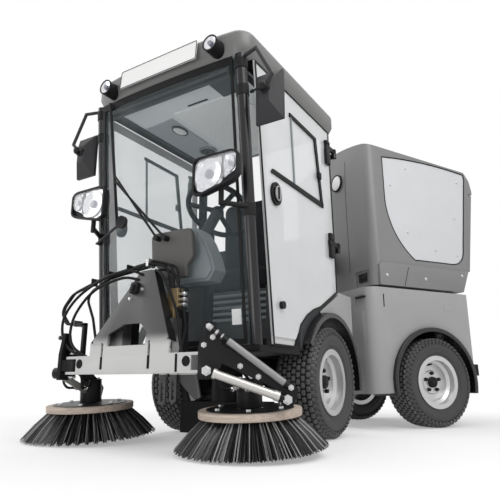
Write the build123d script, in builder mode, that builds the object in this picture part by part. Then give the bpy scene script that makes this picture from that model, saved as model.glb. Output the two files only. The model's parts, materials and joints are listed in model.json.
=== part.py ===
"""Compact articulated street sweeper, one STEP file per named piece.

Millimetres. The front section is drawn about the articulation pivot: +X is the
vehicle's left, -Y is forward, Z is up from the floor. The rear section is drawn
straight behind the pivot and then turned to the steering angle of the photo.
"""
import os
from math import cos, radians, sin, tan

from build123d import *

# Wheels and axles
TYRE_DIAMETER = 584
TYRE_WIDTH = 212
RIM_SEAT_RADIUS = 150
RIM_FLANGE_RADIUS = 173
RIM_HALF_WIDTH = 92
WHEEL_X = 427
FRONT_AXLE_Y = -678
REAR_AXLE_Y = 745
AXLE_Z = TYRE_DIAMETER / 2
SPINDLE_RADIUS = 25
MOTOR_RADIUS = 78
RUNNING_GAP = 0.1

# Frames and articulation
STEER_AT_REST = 33
RAIL_X = 150
RAIL_WIDTH = 60
RAIL_BOTTOM = 338
RAIL_TOP = 418
PIVOT_PIN_RADIUS = 28
FLOOR_TOP = RAIL_TOP + 30
GUIDE_FRONT_Y = -1560
GUIDE_TOP = 600

# Cab
CAB_HALF = 500
PILLAR_X = CAB_HALF - 30
PILLAR_RADIUS = 28
PILLAR_FOOT_Y = -1387
PILLAR_LEAN = -0.1024
ROOF_TOP = 1955
ROOF_LIP = ROOF_TOP - 93
ROOF_BOTTOM = ROOF_TOP - 150
ROOF_HALF = CAB_HALF + 15
ROOF_REAR_Y = -495
ROOF_CORNER_Y = -1545
ROOF_FRONT_Y = -1585
BASE_TOP = 790
BASE_FRONT_Y = -1015
BASE_REAR_Y = -535
ARCH_INNER_X = 296
FENDER_OUTER_X = CAB_HALF + 45
FENDER_THICKNESS = 10
GLASS = 6
GLASS_FOOT_Y = PILLAR_FOOT_Y - 24
GLASS_HALF = PILLAR_X - 14
GLASS_BOW = 14
PANEL_DEPTH = 26
DOOR_X = CAB_HALF + 5
DOOR_THICKNESS = 10
DOOR_FOOT = FLOOR_TOP + 40
DOOR_HEAD = ROOF_BOTTOM - 8
DOOR_FACE = DOOR_X + DOOR_THICKNESS
DOOR_HINGE_X = DOOR_FACE + 14
DOOR_HINGE_Y = -546
SKIRT_HALF = CAB_HALF + 12

# Brush gear
BEAM_FRONT_Y = -1677
BEAM_BACK_Y = -1617
BEAM_HALF = 340
BEAM_BOTTOM = 325
BEAM_TOP = 407
KINGPIN_X = 395
KINGPIN_Y = -1645
KINGPIN_RADIUS = 14
A_FRAME_FOOT = 460
A_FRAME_LEAN = 12.8
BAR_OFFSET = 46
LEFT_SWING = 12.3
RIGHT_SWING = 30.6
BRUSH_TILT = 4.2
DISC_TOP = 184
DISC_RADIUS = 218
DISC_THICKNESS = 30
BRUSH_SHAFT_RADIUS = 16
BRISTLE_RADIUS = 338
BRISTLE_DROP = 156
TUFTS = 48
TUFT_ARC = 4.8
HOSE_RADIUS = 6.5
HOSE_BEND = 52

# Rear body and hopper
BODY_HALF = 520
BODY_FRONT_Y = 205
BODY_REAR_Y = 1084
BODY_TOP = 905
BODY_WALL = 14
BODY_CORNER = 90
HOPPER_HALF = 505
HOPPER_FRONT_Y = 270
HOPPER_FLOOR = 922
HOPPER_WALL = 18
HOPPER_SIDE_Z = 1948
HOPPER_CROWN_Z = 2022
HOPPER_FALL = 0.066
SHEET_DEPTH = 8
TIP_AXIS = (1112, 902)
GATE_AXIS = (1292, 1700)
GATE_PIN_RADIUS = 8
TOW_Y = 1310

front_pieces = {}
rear_pieces = {}


def pillar_y(height):
    """Return the y of a front pillar's middle line at a height."""
    return PILLAR_FOOT_Y + PILLAR_LEAN * (height - FLOOR_TOP)


def box_between(low, high):
    """Return a box spanning two opposite corners, given in any order."""
    with BuildPart() as block:
        with Locations(tuple((a + b) / 2 for a, b in zip(low, high))):
            Box(*[abs(b - a) for a, b in zip(low, high)])
    return block.part


def rod_between(start, end, radius):
    """Return a round rod from one point to another."""
    way = Vector(*end) - Vector(*start)
    with BuildPart() as rod:
        with BuildSketch(Plane(origin=start, z_dir=way)):
            Circle(radius)
        extrude(amount=way.length)
    return rod.part


def mitred_pipe(points, radius, wall):
    """Return a pipe of straight runs mitred at its corners, hollow when it has a wall."""
    with BuildPart() as pipe:
        with BuildLine() as route:
            Polyline(*points)
        with BuildSketch(Plane(origin=points[0], z_dir=route.line % 0)):
            Circle(radius)
            if wall:
                Circle(radius - wall, mode=Mode.SUBTRACT)
        sweep(path=route.line, transition=Transition.RIGHT)
    return pipe.part


def hose_along(points):
    """Return a held hose through the points, rounded at each of them."""
    with BuildPart() as hose:
        with BuildLine() as route:
            FilletPolyline(*points, radius=HOSE_BEND)
        with BuildSketch(Plane(origin=points[0], z_dir=route.line % 0)):
            Circle(HOSE_RADIUS)
        sweep(path=route.line)
    return hose.part


def side_plate(outline, inner_x, outer_x):
    """Return an outline of (y, z) points made solid from one x to another."""
    with BuildPart() as plate:
        with BuildSketch(Plane.YZ.offset(inner_x)):
            Polygon(*outline, align=None)
        extrude(amount=outer_x - inner_x)
    return plate.part


# Tyre and rim, drawn about the X axis with the outer face towards +X
tread = TYRE_DIAMETER / 2
wall_x = TYRE_WIDTH / 2
seat = RIM_SEAT_RADIUS + RUNNING_GAP
flange_x = RIM_HALF_WIDTH - 6
bead_x = flange_x - 0.5
barrel = RIM_SEAT_RADIUS - 7
bore = SPINDLE_RADIUS + RUNNING_GAP
tyre_half = [(bead_x, seat), (bead_x, RIM_FLANGE_RADIUS + 5), (wall_x - 6, tread - 84), (wall_x, tread - 60),
             (wall_x - 5, tread - 30), (wall_x - 13, tread - 16), (wall_x - 26, tread - 7), (26, tread)]
with BuildPart() as tyre:
    with BuildSketch(Plane.XY):
        Polygon(*tyre_half, *[(-x, r) for x, r in reversed(tyre_half)], align=None)
    revolve(axis=Axis.X)

with BuildPart() as rim:
    with BuildSketch(Plane.XY):
        Polygon(
            (RIM_HALF_WIDTH, RIM_FLANGE_RADIUS), (flange_x, RIM_FLANGE_RADIUS), (flange_x, RIM_SEAT_RADIUS),
            (-flange_x, RIM_SEAT_RADIUS), (-flange_x, RIM_FLANGE_RADIUS), (-RIM_HALF_WIDTH, RIM_FLANGE_RADIUS),
            (-RIM_HALF_WIDTH, barrel), (16, barrel), (16, 60), (-45, 60), (-45, bore), (32, bore), (32, 74),
            (26, 80), (26, barrel - 21), (40, barrel - 21), (53, barrel), (RIM_HALF_WIDTH, barrel), align=None)
    revolve(axis=Axis.X)

# Columns: corner, side, axle y, section
wheel_places = [
    ("front_left", 1, FRONT_AXLE_Y, front_pieces),
    ("front_right", -1, FRONT_AXLE_Y, front_pieces),
    ("rear_left", 1, REAR_AXLE_Y, rear_pieces),
    ("rear_right", -1, REAR_AXLE_Y, rear_pieces),
]
for corner, side, axle_y, section in wheel_places:
    place = Location((side * WHEEL_X, axle_y, AXLE_Z), (0, 0, 0 if side > 0 else 180))
    section[f"tyre_{corner}"] = place * tyre.part
    section[f"rim_{corner}"] = place * rim.part

# Stub axles: a wheel motor bolted under each rail, with its spindle
motor_end = WHEEL_X - 51
for label, axle_y, section in [("front_axles", FRONT_AXLE_Y, front_pieces),
                               ("rear_axles", REAR_AXLE_Y, rear_pieces)]:
    with BuildPart() as axles:
        for side in (-1, 1):
            spans = [(115, 250, 46), (250, motor_end, MOTOR_RADIUS), (motor_end, WHEEL_X + 30, SPINDLE_RADIUS)]
            for near, far, radius in spans:
                add(rod_between((side * near, axle_y, AXLE_Z), (side * far, axle_y, AXLE_Z), radius))
            add(box_between((side * 115, axle_y - 80, AXLE_Z - 20), (side * 215, axle_y + 80, RAIL_BOTTOM)))
    section[label] = axles.part

# Front frame: two rails, cross members, lift guides and the pivot fork
rail_out = RAIL_X + RAIL_WIDTH / 2
rail_in = RAIL_X - RAIL_WIDTH / 2
with BuildPart() as front_frame:
    for side in (-1, 1):
        add(box_between((side * rail_in, GUIDE_FRONT_Y, RAIL_BOTTOM), (side * rail_out, -300, RAIL_TOP)))
        add(box_between((side * rail_in, GUIDE_FRONT_Y, RAIL_TOP), (side * rail_out, GUIDE_FRONT_Y + 60, GUIDE_TOP)))
    for cross_y in (-1460, -1120, -560):
        add(box_between((-rail_out, cross_y, RAIL_BOTTOM), (rail_out, cross_y + 60, RAIL_BOTTOM + 50)))
    add(box_between((-rail_out, -300, 320), (rail_out, -90, 440)))
    for lug_low, lug_high in [(286, 320), (440, 474)]:
        add(box_between((-80, -200, lug_low), (80, 0, lug_high)))
        add(rod_between((0, 0, lug_low), (0, 0, lug_high), 80))
        add(rod_between((0, 0, lug_low - 5), (0, 0, lug_high + 5), PIVOT_PIN_RADIUS + RUNNING_GAP),
            mode=Mode.SUBTRACT)
front_pieces["front_frame"] = front_frame.part

# Wheel arches: liner drums, their lips and the openings they need
# Columns: label, arch middle y, radius, lip radius, first and last angle, section
arch_sets = [
    ("front_fenders", FRONT_AXLE_Y, 366, 338, -8, 150, front_pieces),
    ("rear_fenders", REAR_AXLE_Y - 23, 360, 332, -12, 194, rear_pieces),
]
arch_drums = {}
for label, middle_y, radius, lip_radius, first, last, section in arch_sets:
    with BuildPart() as drums:
        for side in (-1, 1):
            add(rod_between((side * ARCH_INNER_X, middle_y, AXLE_Z), (side * 600, middle_y, AXLE_Z), radius))
    arch_drums[label] = drums.part
    with BuildPart() as fenders:
        for side in (-1, 1):
            bands = [(radius - FENDER_THICKNESS, ARCH_INNER_X, FENDER_OUTER_X),
                     (lip_radius, FENDER_OUTER_X - 8, FENDER_OUTER_X)]
            for inner_radius, near, far in bands:
                with BuildSketch(Plane.YZ.offset(side * near)) as band:
                    with BuildLine():
                        for reach in (radius, inner_radius):
                            CenterArc((middle_y, AXLE_Z), reach, first, last - first)
                        for angle in (first, last):
                            Line(*[(middle_y + reach * cos(radians(angle)), AXLE_Z + reach * sin(radians(angle)))
                                   for reach in (inner_radius, radius)])
                    make_face()
                extrude(band.sketch, amount=side * (far - near))
    section[label] = fenders.part

# Cab floor with its sills, and the seat base over the wheel arches with the side console
floor_front = PILLAR_FOOT_Y - 25
floor_waist = BASE_FRONT_Y - 11
floor_neck = ARCH_INNER_X - 11
with BuildPart() as cab_floor:
    with BuildSketch(Plane.XY.offset(RAIL_TOP)):
        Polygon((-CAB_HALF, floor_front), (CAB_HALF, floor_front), (CAB_HALF, floor_waist), (floor_neck, floor_waist),
                (floor_neck, BASE_REAR_Y), (-floor_neck, BASE_REAR_Y), (-floor_neck, floor_waist), (-CAB_HALF, floor_waist),
                align=None)
    extrude(amount=FLOOR_TOP - RAIL_TOP)
    for side in (-1, 1):
        add(box_between((side * (CAB_HALF - 60), PILLAR_FOOT_Y + 42, FLOOR_TOP), (side * CAB_HALF, floor_waist - 4, FLOOR_TOP + 30)))
front_pieces["cab_floor"] = cab_floor.part

with BuildPart() as seat_base:
    add(box_between((-CAB_HALF, BASE_FRONT_Y, FLOOR_TOP), (CAB_HALF, BASE_REAR_Y, BASE_TOP)))
    add(arch_drums["front_fenders"], mode=Mode.SUBTRACT)
    add(box_between((-300, BASE_FRONT_Y - 10, 600), (300, BASE_FRONT_Y + 75, BASE_TOP + 10)), mode=Mode.SUBTRACT)
    add(side_plate([(BASE_FRONT_Y + 15, BASE_TOP), (-700, BASE_TOP), (-700, 1010), (-960, 1010), (-1010, 960)],
                   70 - CAB_HALF, 210 - CAB_HALF))
front_pieces["seat_base"] = seat_base.part

# Pillars: round bars in front, square posts with hinge pins behind
with BuildPart() as front_pillars:
    for side in (-1, 1):
        foot, head = FLOOR_TOP - 100, ROOF_BOTTOM + 100
        add(rod_between((side * PILLAR_X, pillar_y(foot), foot), (side * PILLAR_X, pillar_y(head), head), PILLAR_RADIUS))
    add(box_between((-600, -1700, FLOOR_TOP), (600, -1200, ROOF_BOTTOM)), mode=Mode.INTERSECT)
front_pieces["front_pillars"] = front_pillars.part

hinge_heights = [1030, ROOF_BOTTOM - 165]
post_in, post_out = CAB_HALF - 45, CAB_HALF - 5
KNUCKLE = 28
KNUCKLE_RADIUS = 13
HINGE_PIN_RADIUS = 6
with BuildPart() as rear_pillars:
    for side in (-1, 1):
        add(box_between((side * post_in, -585, BASE_TOP), (side * post_out, -540, ROOF_BOTTOM)))
        for foot in hinge_heights:
            knuckle_foot = (side * DOOR_HINGE_X, DOOR_HINGE_Y, foot)
            add(box_between((side * post_out, DOOR_HINGE_Y - 12, foot), (side * DOOR_HINGE_X, -540, foot + KNUCKLE)))
            add(rod_between(knuckle_foot, (side * DOOR_HINGE_X, DOOR_HINGE_Y, foot + KNUCKLE), KNUCKLE_RADIUS))
            add(rod_between(knuckle_foot, (side * DOOR_HINGE_X, DOOR_HINGE_Y, foot + 2 * KNUCKLE + 6), HINGE_PIN_RADIUS))
front_pieces["rear_pillars"] = rear_pillars.part

# Roof: a bowed lid with a rounded top and an undercut below its lip
with BuildPart() as roof:
    with BuildSketch(Plane.XY.offset(ROOF_LIP)) as roof_plan:
        with BuildLine():
            ThreePointArc((-ROOF_HALF, ROOF_CORNER_Y), (0, ROOF_FRONT_Y), (ROOF_HALF, ROOF_CORNER_Y))
            Polyline((ROOF_HALF, ROOF_CORNER_Y), (ROOF_HALF, ROOF_REAR_Y), (-ROOF_HALF, ROOF_REAR_Y),
                     (-ROOF_HALF, ROOF_CORNER_Y))
        make_face()
        fillet(vertices().group_by(Axis.Y)[0], radius=90)
        fillet(vertices().group_by(Axis.Y)[-1], radius=45)
    extrude(amount=ROOF_TOP - ROOF_LIP)
    fillet(faces().sort_by(Axis.Z)[-1].edges(), radius=36)
    with BuildSketch(Plane.XY.offset(ROOF_BOTTOM)) as roof_foot:
        add(roof_plan.sketch.moved(Location((0, 0, -ROOF_LIP))))
        offset(amount=-30, mode=Mode.REPLACE)
    loft([roof_foot.sketch, roof_plan.sketch])
front_pieces["cab_roof"] = roof.part

lining_half = PILLAR_X - PILLAR_RADIUS - 7
front_pieces["headliner"] = box_between((-lining_half, pillar_y(ROOF_BOTTOM) + 41, ROOF_BOTTOM - 18),
                                        (lining_half, -592, ROOF_BOTTOM))
front_pieces["cab_rear_panel"] = box_between((-post_in, -570, BASE_TOP), (post_in, -548, BASE_TOP + 360))
front_pieces["rear_window"] = box_between((-post_in, -562, BASE_TOP + 360), (post_in, -562 + GLASS, ROOF_BOTTOM))


def glass_layer(front_gap, thickness, height):
    """Return a layer bowed in plan and leaning with the pillars, ahead of the windscreen by a gap."""
    with BuildPart() as layer:
        with BuildSketch(Plane.XY.offset(FLOOR_TOP)):
            with BuildLine():
                for y in (GLASS_FOOT_Y - front_gap, GLASS_FOOT_Y - front_gap + thickness):
                    ThreePointArc((-GLASS_HALF, y), (0, y - GLASS_BOW), (GLASS_HALF, y))
                for side in (-1, 1):
                    Line((side * GLASS_HALF, GLASS_FOOT_Y - front_gap),
                         (side * GLASS_HALF, GLASS_FOOT_Y - front_gap + thickness))
            make_face()
        extrude(amount=height, dir=(0, PILLAR_LEAN, 1))
    return layer.part


def glass_y(x, height):
    """Return the y of the windscreen's front face at a place across it and a height."""
    return GLASS_FOOT_Y + PILLAR_LEAN * (height - FLOOR_TOP) - GLASS_BOW * (1 - (x / GLASS_HALF) ** 2)


with BuildPart() as windscreen:
    add(glass_layer(0, GLASS, ROOF_BOTTOM - FLOOR_TOP - 4))
    add(front_pillars.part, mode=Mode.SUBTRACT)
front_pieces["windscreen"] = windscreen.part

# Doors: full glass panes hung on the rear pillars, with hinge leaves, handle and knob
door_outline = [
    (pillar_y(DOOR_HEAD) + 51, DOOR_HEAD), (pillar_y(DOOR_FOOT) + 84, DOOR_FOOT), (-1100, DOOR_FOOT), (-1040, 560),
    (-970, 612), (-890, 650), (-800, 676), (-562, 792), (-600, DOOR_HEAD)]
for label, side in [("left", 1), ("right", -1)]:
    front_pieces[f"door_{label}"] = side_plate(door_outline, side * DOOR_X, side * DOOR_FACE)
    with BuildPart() as fittings:
        for foot in hinge_heights:
            low, high = foot + KNUCKLE + 1, foot + 2 * KNUCKLE
            add(box_between((side * DOOR_FACE, -665, low), (side * (DOOR_FACE + 16), DOOR_HINGE_Y, high)))
            add(rod_between((side * DOOR_HINGE_X, DOOR_HINGE_Y, low), (side * DOOR_HINGE_X, DOOR_HINGE_Y, high),
                            KNUCKLE_RADIUS))
            add(rod_between((side * DOOR_HINGE_X, DOOR_HINGE_Y, low - 20),
                            (side * DOOR_HINGE_X, DOOR_HINGE_Y, high + 20), HINGE_PIN_RADIUS + RUNNING_GAP),
                mode=Mode.SUBTRACT)
        with BuildSketch(Plane.YZ.offset(side * DOOR_FACE)) as handle:
            with Locations((-1285, 1165)):
                Ellipse(30, 39)
        extrude(handle.sketch, amount=side * 18)
        add(rod_between((side * DOOR_FACE, -1242, 635), (side * (DOOR_FACE + 18), -1242, 635), 18))
    front_pieces[f"door_{label}_fittings"] = fittings.part

# Grey housing behind the cab, with cheeks running forward under the doors
with BuildPart() as rear_skirt:
    add(box_between((-SKIRT_HALF, BASE_REAR_Y, 460), (SKIRT_HALF, -330, 800)))
    cheek = [(-786, 660), (-556, 772), (-530, 775), (-530, 560), (-760, 560)]
    for side in (-1, 1):
        add(side_plate(cheek, side * CAB_HALF, side * SKIRT_HALF))
    add(arch_drums["front_fenders"], mode=Mode.SUBTRACT)
front_pieces["rear_skirt"] = rear_skirt.part

# Cab inside: seat, column and steering wheel
with BuildPart() as seat_unit:
    add(box_between((-230, -930, BASE_TOP), (230, -640, BASE_TOP + 90)))
    add(side_plate([(-690, BASE_TOP + 90), (-640, BASE_TOP + 90), (-590, BASE_TOP + 630), (-640, BASE_TOP + 630)], -220, 220))
    fillet(edges().filter_by(Axis.X, reverse=True).group_by(SortBy.LENGTH)[0], radius=8)
front_pieces["seat"] = seat_unit.part

STEER_HUB = (74, -1150, 1190)
STEER_TILT = 35
STEER_RADIUS = 178
column_joint = (STEER_HUB[0], STEER_HUB[1] - 180 * sin(radians(STEER_TILT)),
                STEER_HUB[2] - 180 * cos(radians(STEER_TILT)))
with BuildPart() as column:
    add(box_between((STEER_HUB[0] - 45, -1320, FLOOR_TOP), (STEER_HUB[0] + 45, -1230, column_joint[2])))
    add(rod_between(column_joint, STEER_HUB, 30))
front_pieces["steering_column"] = column.part

with BuildPart() as wheel:
    with BuildSketch(Plane.XZ):
        with Locations((STEER_RADIUS, 22)):
            RegularPolygon(15, 10)
        Polygon((0, 0), (40, 0), (30, 26), (0, 26), align=None)
    revolve(axis=Axis.Z)
    with PolarLocations(100, 3, start_angle=90):
        with Locations((0, 0, 14)):
            Box(140, 26, 12)
wheel_seat = Plane(origin=STEER_HUB, x_dir=(1, 0, 0), z_dir=(0, sin(radians(STEER_TILT)), cos(radians(STEER_TILT))))
front_pieces["steering_wheel"] = wheel_seat.location * wheel.part

# Wiper panel on the glass, and the wiper with its two parallel arms
with BuildPart() as wiper_panel:
    with BuildSketch(Plane.XZ.offset(1400)) as face:
        Polygon((-66, 860), (-66, 982), (-50, 1000), (166, 1000), (182, 982), (184, 860), (144, 822), (144, 770),
                (-28, 770), (-28, 822), align=None)
    extrude(face.sketch, amount=300)
    add(glass_layer(PANEL_DEPTH, PANEL_DEPTH, ROOF_BOTTOM - FLOOR_TOP), mode=Mode.INTERSECT)
front_pieces["wiper_panel"] = wiper_panel.part

with BuildPart() as wiper:
    blade_head, blade_foot = [Vector(x, glass_y(x, z) - 15, z) for x, z in [(-365, ROOF_BOTTOM - 15), (-321, 1095)]]
    add(rod_between(tuple(blade_head), tuple(blade_foot), 8))
    blade = blade_head - blade_foot
    for pivot, step in [((-12, -1526, 968), 0), ((38, -1524, 962), 32)]:
        tip = blade_foot + blade.normalized() * (0.4 * blade.length - step) - Vector(0, 4, 0)
        add(rod_between(pivot, tuple(tip), 6))
        add(rod_between((pivot[0], pivot[1] - 14, pivot[2]), (pivot[0], pivot[1] + 60, pivot[2]), 13))
    for blocker in ("wiper_panel", "windscreen"):
        add(front_pieces[blocker], mode=Mode.SUBTRACT)
front_pieces["wiper"] = wiper.part.solids().sort_by(Axis.Y)[0]

# Headlamps on pillar brackets and round work lamps in the roof's front
LAMP_FRONT_Y = -1620
LAMP_BRACKET_Z = 1058
LAMP_X = CAB_HALF - 92
LAMP_Z = 1184
ROOF_LAMP_X = CAB_HALF - 145
lamp_outline = [(-123, 66), (-96, 86), (94, 86), (122, 60), (122, -26), (92, -58), (-78, -98), (-123, -76)]
with BuildPart() as lamps:
    for side in (-1, 1):
        sections = []
        for y, share in [(LAMP_FRONT_Y, 1), (LAMP_FRONT_Y + 22, 0.97), (LAMP_FRONT_Y + 70, 0.6)]:
            with BuildSketch(Plane.XZ.offset(-y)) as lamp_face:
                Polygon(*[(side * (LAMP_X + share * x), LAMP_Z + share * z) for x, z in lamp_outline], align=None)
            sections.append(lamp_face.sketch)
        loft(sections, ruled=True)
        add(rod_between((side * LAMP_X, LAMP_FRONT_Y + 38, LAMP_Z - 30), (side * LAMP_X, LAMP_FRONT_Y + 38, LAMP_BRACKET_Z - 12), 12))
        add(rod_between((side * (LAMP_X - 10), LAMP_FRONT_Y + 38, LAMP_BRACKET_Z),
                        (side * (PILLAR_X + 6), pillar_y(LAMP_BRACKET_Z) - 22, LAMP_BRACKET_Z), 12))
        add(rod_between((side * ROOF_LAMP_X, ROOF_FRONT_Y - 30, ROOF_LIP), (side * ROOF_LAMP_X, ROOF_FRONT_Y + 45, ROOF_LIP), 42))
    for blocker in ("front_pillars", "cab_roof", "windscreen"):
        add(front_pieces[blocker], mode=Mode.SUBTRACT)
front_pieces["front_lamps"] = lamps.part

# Mirrors: tapered heads on bent tubes, and a small round mirror on the right pillar
MIRROR_X = CAB_HALF + 110
MIRROR_BACK_Y = -1484
MIRROR_FRONT_Y = -1548
MIRROR_Z = ROOF_BOTTOM - 253
MIRROR_WIDTH = 142
MIRROR_HEIGHT = 247
MIRROR_RIM = 16
with BuildPart() as mirrors:
    for side in (-1, 1):
        faces_of_head = []
        for y, width, height in [(MIRROR_BACK_Y - MIRROR_RIM, MIRROR_WIDTH, MIRROR_HEIGHT), (MIRROR_FRONT_Y, 48, 96)]:
            with BuildSketch(Plane.XZ.offset(-y)) as outline:
                with Locations((side * MIRROR_X, MIRROR_Z)):
                    Rectangle(width, height)
            faces_of_head.append(outline.sketch)
        loft(faces_of_head)
        extrude(faces_of_head[0], amount=-MIRROR_RIM)
        arm_z = ROOF_BOTTOM - 14
        add(mitred_pipe([(side * PILLAR_X, pillar_y(arm_z), arm_z), (side * (MIRROR_X - 35), MIRROR_FRONT_Y - 8, arm_z),
                         (side * (MIRROR_X + 50), MIRROR_FRONT_Y - 12, MIRROR_Z + 68),
                         (side * (MIRROR_X + 5), MIRROR_FRONT_Y - 12, MIRROR_Z + 18),
                         (side * (MIRROR_X + 2), MIRROR_FRONT_Y + 30, MIRROR_Z + 8)], 9, 0))
    add(mitred_pipe([(-PILLAR_X, pillar_y(1015), 1015), (-PILLAR_X, pillar_y(1015) - 50, 1015), (-272, -1520, 1092)], 7, 0))
    add(rod_between((-270, -1528, 1095), (-270, -1508, 1095), 34))
    add(front_pillars.part, mode=Mode.SUBTRACT)
front_pieces["mirrors"] = mirrors.part

# Suction mouth between the front wheels, pipe up, and the swivel duct over the pivot
DUCT_RADIUS = 80
DUCT_WALL = 5
MOUTH_Y = -925
with BuildPart() as mouth:
    add(box_between((-240, MOUTH_Y - 100, 28), (240, MOUTH_Y + 100, 190)))
    add(box_between((-230, MOUTH_Y - 90, 0), (230, MOUTH_Y + 90, 180)), mode=Mode.SUBTRACT)
    add(rod_between((0, MOUTH_Y, 170), (0, MOUTH_Y, RAIL_TOP), DUCT_RADIUS + 5))
    add(rod_between((0, MOUTH_Y, 100), (0, MOUTH_Y, RAIL_TOP - 6), DUCT_RADIUS - 1), mode=Mode.SUBTRACT)
front_pieces["suction_mouth"] = mouth.part
duct_run = [(0, -330, 620), (0, -90, 620), (0, 0, 690), (0, 0, 740)]
front_pieces["suction_pipe"] = mitred_pipe(duct_run, DUCT_RADIUS, DUCT_WALL)
with BuildPart() as elbow:
    add(mitred_pipe([(0, 0, 742), (0, 0, 1070), (0, 80, 1150), (0, HOPPER_FRONT_Y, 1150)], DUCT_RADIUS, DUCT_WALL))
    add(box_between((-40, DUCT_RADIUS - 3, 840), (40, BODY_FRONT_Y, 860)))
rear_pieces["suction_elbow"] = elbow.part

# Brush carrier: folded beam with kingpin lugs, leaning A-frame, lift shoes and hose bracket
slope = radians(A_FRAME_LEAN)
SHEET = 14
FLANGE_DEPTH = 52
a_plane = Plane(origin=(0, BEAM_FRONT_Y, A_FRAME_FOOT), x_dir=(1, 0, 0), z_dir=(0, -cos(slope), sin(slope)))
SHOE_TOP = 560
BRACKET_Z = 564
with BuildPart() as carrier:
    add(box_between((-BEAM_HALF, BEAM_FRONT_Y, BEAM_BOTTOM), (BEAM_HALF, BEAM_BACK_Y, BEAM_TOP)))
    add(box_between((-250, BEAM_FRONT_Y, BEAM_TOP), (222, BEAM_FRONT_Y + SHEET, A_FRAME_FOOT + 2)))
    with BuildSketch(a_plane) as triangle:
        Polygon((-250, -2), (222, -2), (52, 340), (-30, 340), align=None)
        fillet(vertices().group_by(Axis.Z)[-1], radius=16)
    extrude(triangle.sketch, amount=-FLANGE_DEPTH)
    with BuildSketch(a_plane.offset(-SHEET)) as hollow:
        Polygon((-300, -30), (272, -30), (212, -2), (44, 330), (-22, 330), (-240, -2), align=None)
    extrude(hollow.sketch, amount=-FLANGE_DEPTH, mode=Mode.SUBTRACT)
    with BuildSketch(Plane.XZ.offset(-BEAM_FRONT_Y + 20)) as window:
        Polygon((-141, 446), (89, 446), (89, 498), (40, 541), (-58, 541), (-144, 502), align=None)
        with Locations((-172, 430), (112, 430)):
            SlotOverall(66, 14, rotation=90)
    extrude(window.sketch, amount=-55, mode=Mode.SUBTRACT)
    for side in (-1, 1):
        king = (side * KINGPIN_X, KINGPIN_Y)
        for lug_low, lug_high in [(BEAM_BOTTOM, BEAM_BOTTOM + 12), (BEAM_TOP - 12, BEAM_TOP)]:
            add(box_between((side * (BEAM_HALF - 10), KINGPIN_Y - 32, lug_low),
                            (side * KINGPIN_X, KINGPIN_Y + 28, lug_high)))
            add(rod_between((*king, lug_low), (*king, lug_high), 34))
        add(rod_between((*king, BEAM_BOTTOM + 12), (*king, BEAM_TOP - 12), 52), mode=Mode.SUBTRACT)
        add(rod_between((*king, BEAM_BOTTOM - 20), (*king, BEAM_TOP + 20), KINGPIN_RADIUS + RUNNING_GAP),
            mode=Mode.SUBTRACT)
        add(box_between((side * (rail_in - 10), BEAM_BACK_Y, 340), (side * (rail_out + 10), GUIDE_FRONT_Y - RUNNING_GAP, SHOE_TOP)))
    with BuildSketch(Plane.XZ.offset(-BEAM_BACK_Y + 12)) as hooks:
        with Locations((160, 268), (218, 276)):
            SlotOverall(140, 36, rotation=90)
        with Locations((160, 250), (218, 258)):
            SlotOverall(76, 14, rotation=90, mode=Mode.SUBTRACT)
    extrude(hooks.sketch, amount=8)
    with BuildSketch(Plane.XZ.offset(-BEAM_BACK_Y)) as gusset:
        Polygon((190, BEAM_BOTTOM + 10), (326, BEAM_BOTTOM + 10), (352, 232), (322, 222), align=None)
    extrude(gusset.sketch, amount=8)
    add(box_between((-342, KINGPIN_Y - 10, BEAM_TOP), (-328, KINGPIN_Y + 10, BRACKET_Z)))
    add(box_between((-402, KINGPIN_Y - 10, BRACKET_Z - 12), (-328, KINGPIN_Y + 10, BRACKET_Z)))
    add(box_between((-402, KINGPIN_Y - 14, BRACKET_Z - 12), (-394, KINGPIN_Y + 34, BRACKET_Z + 16)))
front_pieces["brush_carrier"] = carrier.part

# Valve block on a post from the left lift shoe, behind the A-frame's flange, and the held hoses
VALVE_FOOT = GUIDE_TOP + 12
VALVE_TOP = 700
VALVE_FRONT_Y = -1570
VALVE_BACK_Y = -1530
with BuildPart() as valve_block:
    add(box_between((128, VALVE_FRONT_Y - 14, SHOE_TOP), (162, GUIDE_FRONT_Y - 6, VALVE_FOOT + 10)))
    add(box_between((112, VALVE_FRONT_Y, VALVE_FOOT), (170, VALVE_BACK_Y, VALVE_TOP)))
    for spool in range(3):
        spool_foot = VALVE_FOOT + 6 + 24 * spool
        add(box_between((106, VALVE_FRONT_Y + 4, spool_foot), (176, VALVE_BACK_Y - 4, spool_foot + 14)))
front_pieces["valve_block"] = valve_block.part

hose_routes = [
    [(121, -1560, VALVE_TOP), (108, -1572, 806), (20, -1590, 826), (-300, -1594, 784), (-500, -1600, 722),
     (-545, -1622, 640), (-470, -1646, 566), (-398, -1646, 566)],
    [(137, -1556, VALVE_TOP), (124, -1560, 812), (24, -1573, 840), (-296, -1576, 798), (-500, -1582, 736),
     (-562, -1606, 640), (-472, -1626, 566), (-398, -1626, 566)],
    [(154, -1546, VALVE_TOP), (146, -1544, 808), (40, -1553, 828), (-280, -1557, 792), (-420, -1580, 716),
     (-330, -1604, 590), (-235, -1640, 400)],
    [(20, -1590, 752), (40, -1566, 812), (140, -1556, 770), (184, -1549, 640), (206, -1552, 520), (250, -1640, 400)],
]
with BuildPart() as hoses:
    for route_points in hose_routes:
        add(hose_along(route_points))
    for blocker in ("brush_carrier", "valve_block"):
        add(front_pieces[blocker], mode=Mode.SUBTRACT)
front_pieces["brush_hoses"] = hoses.part

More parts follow.
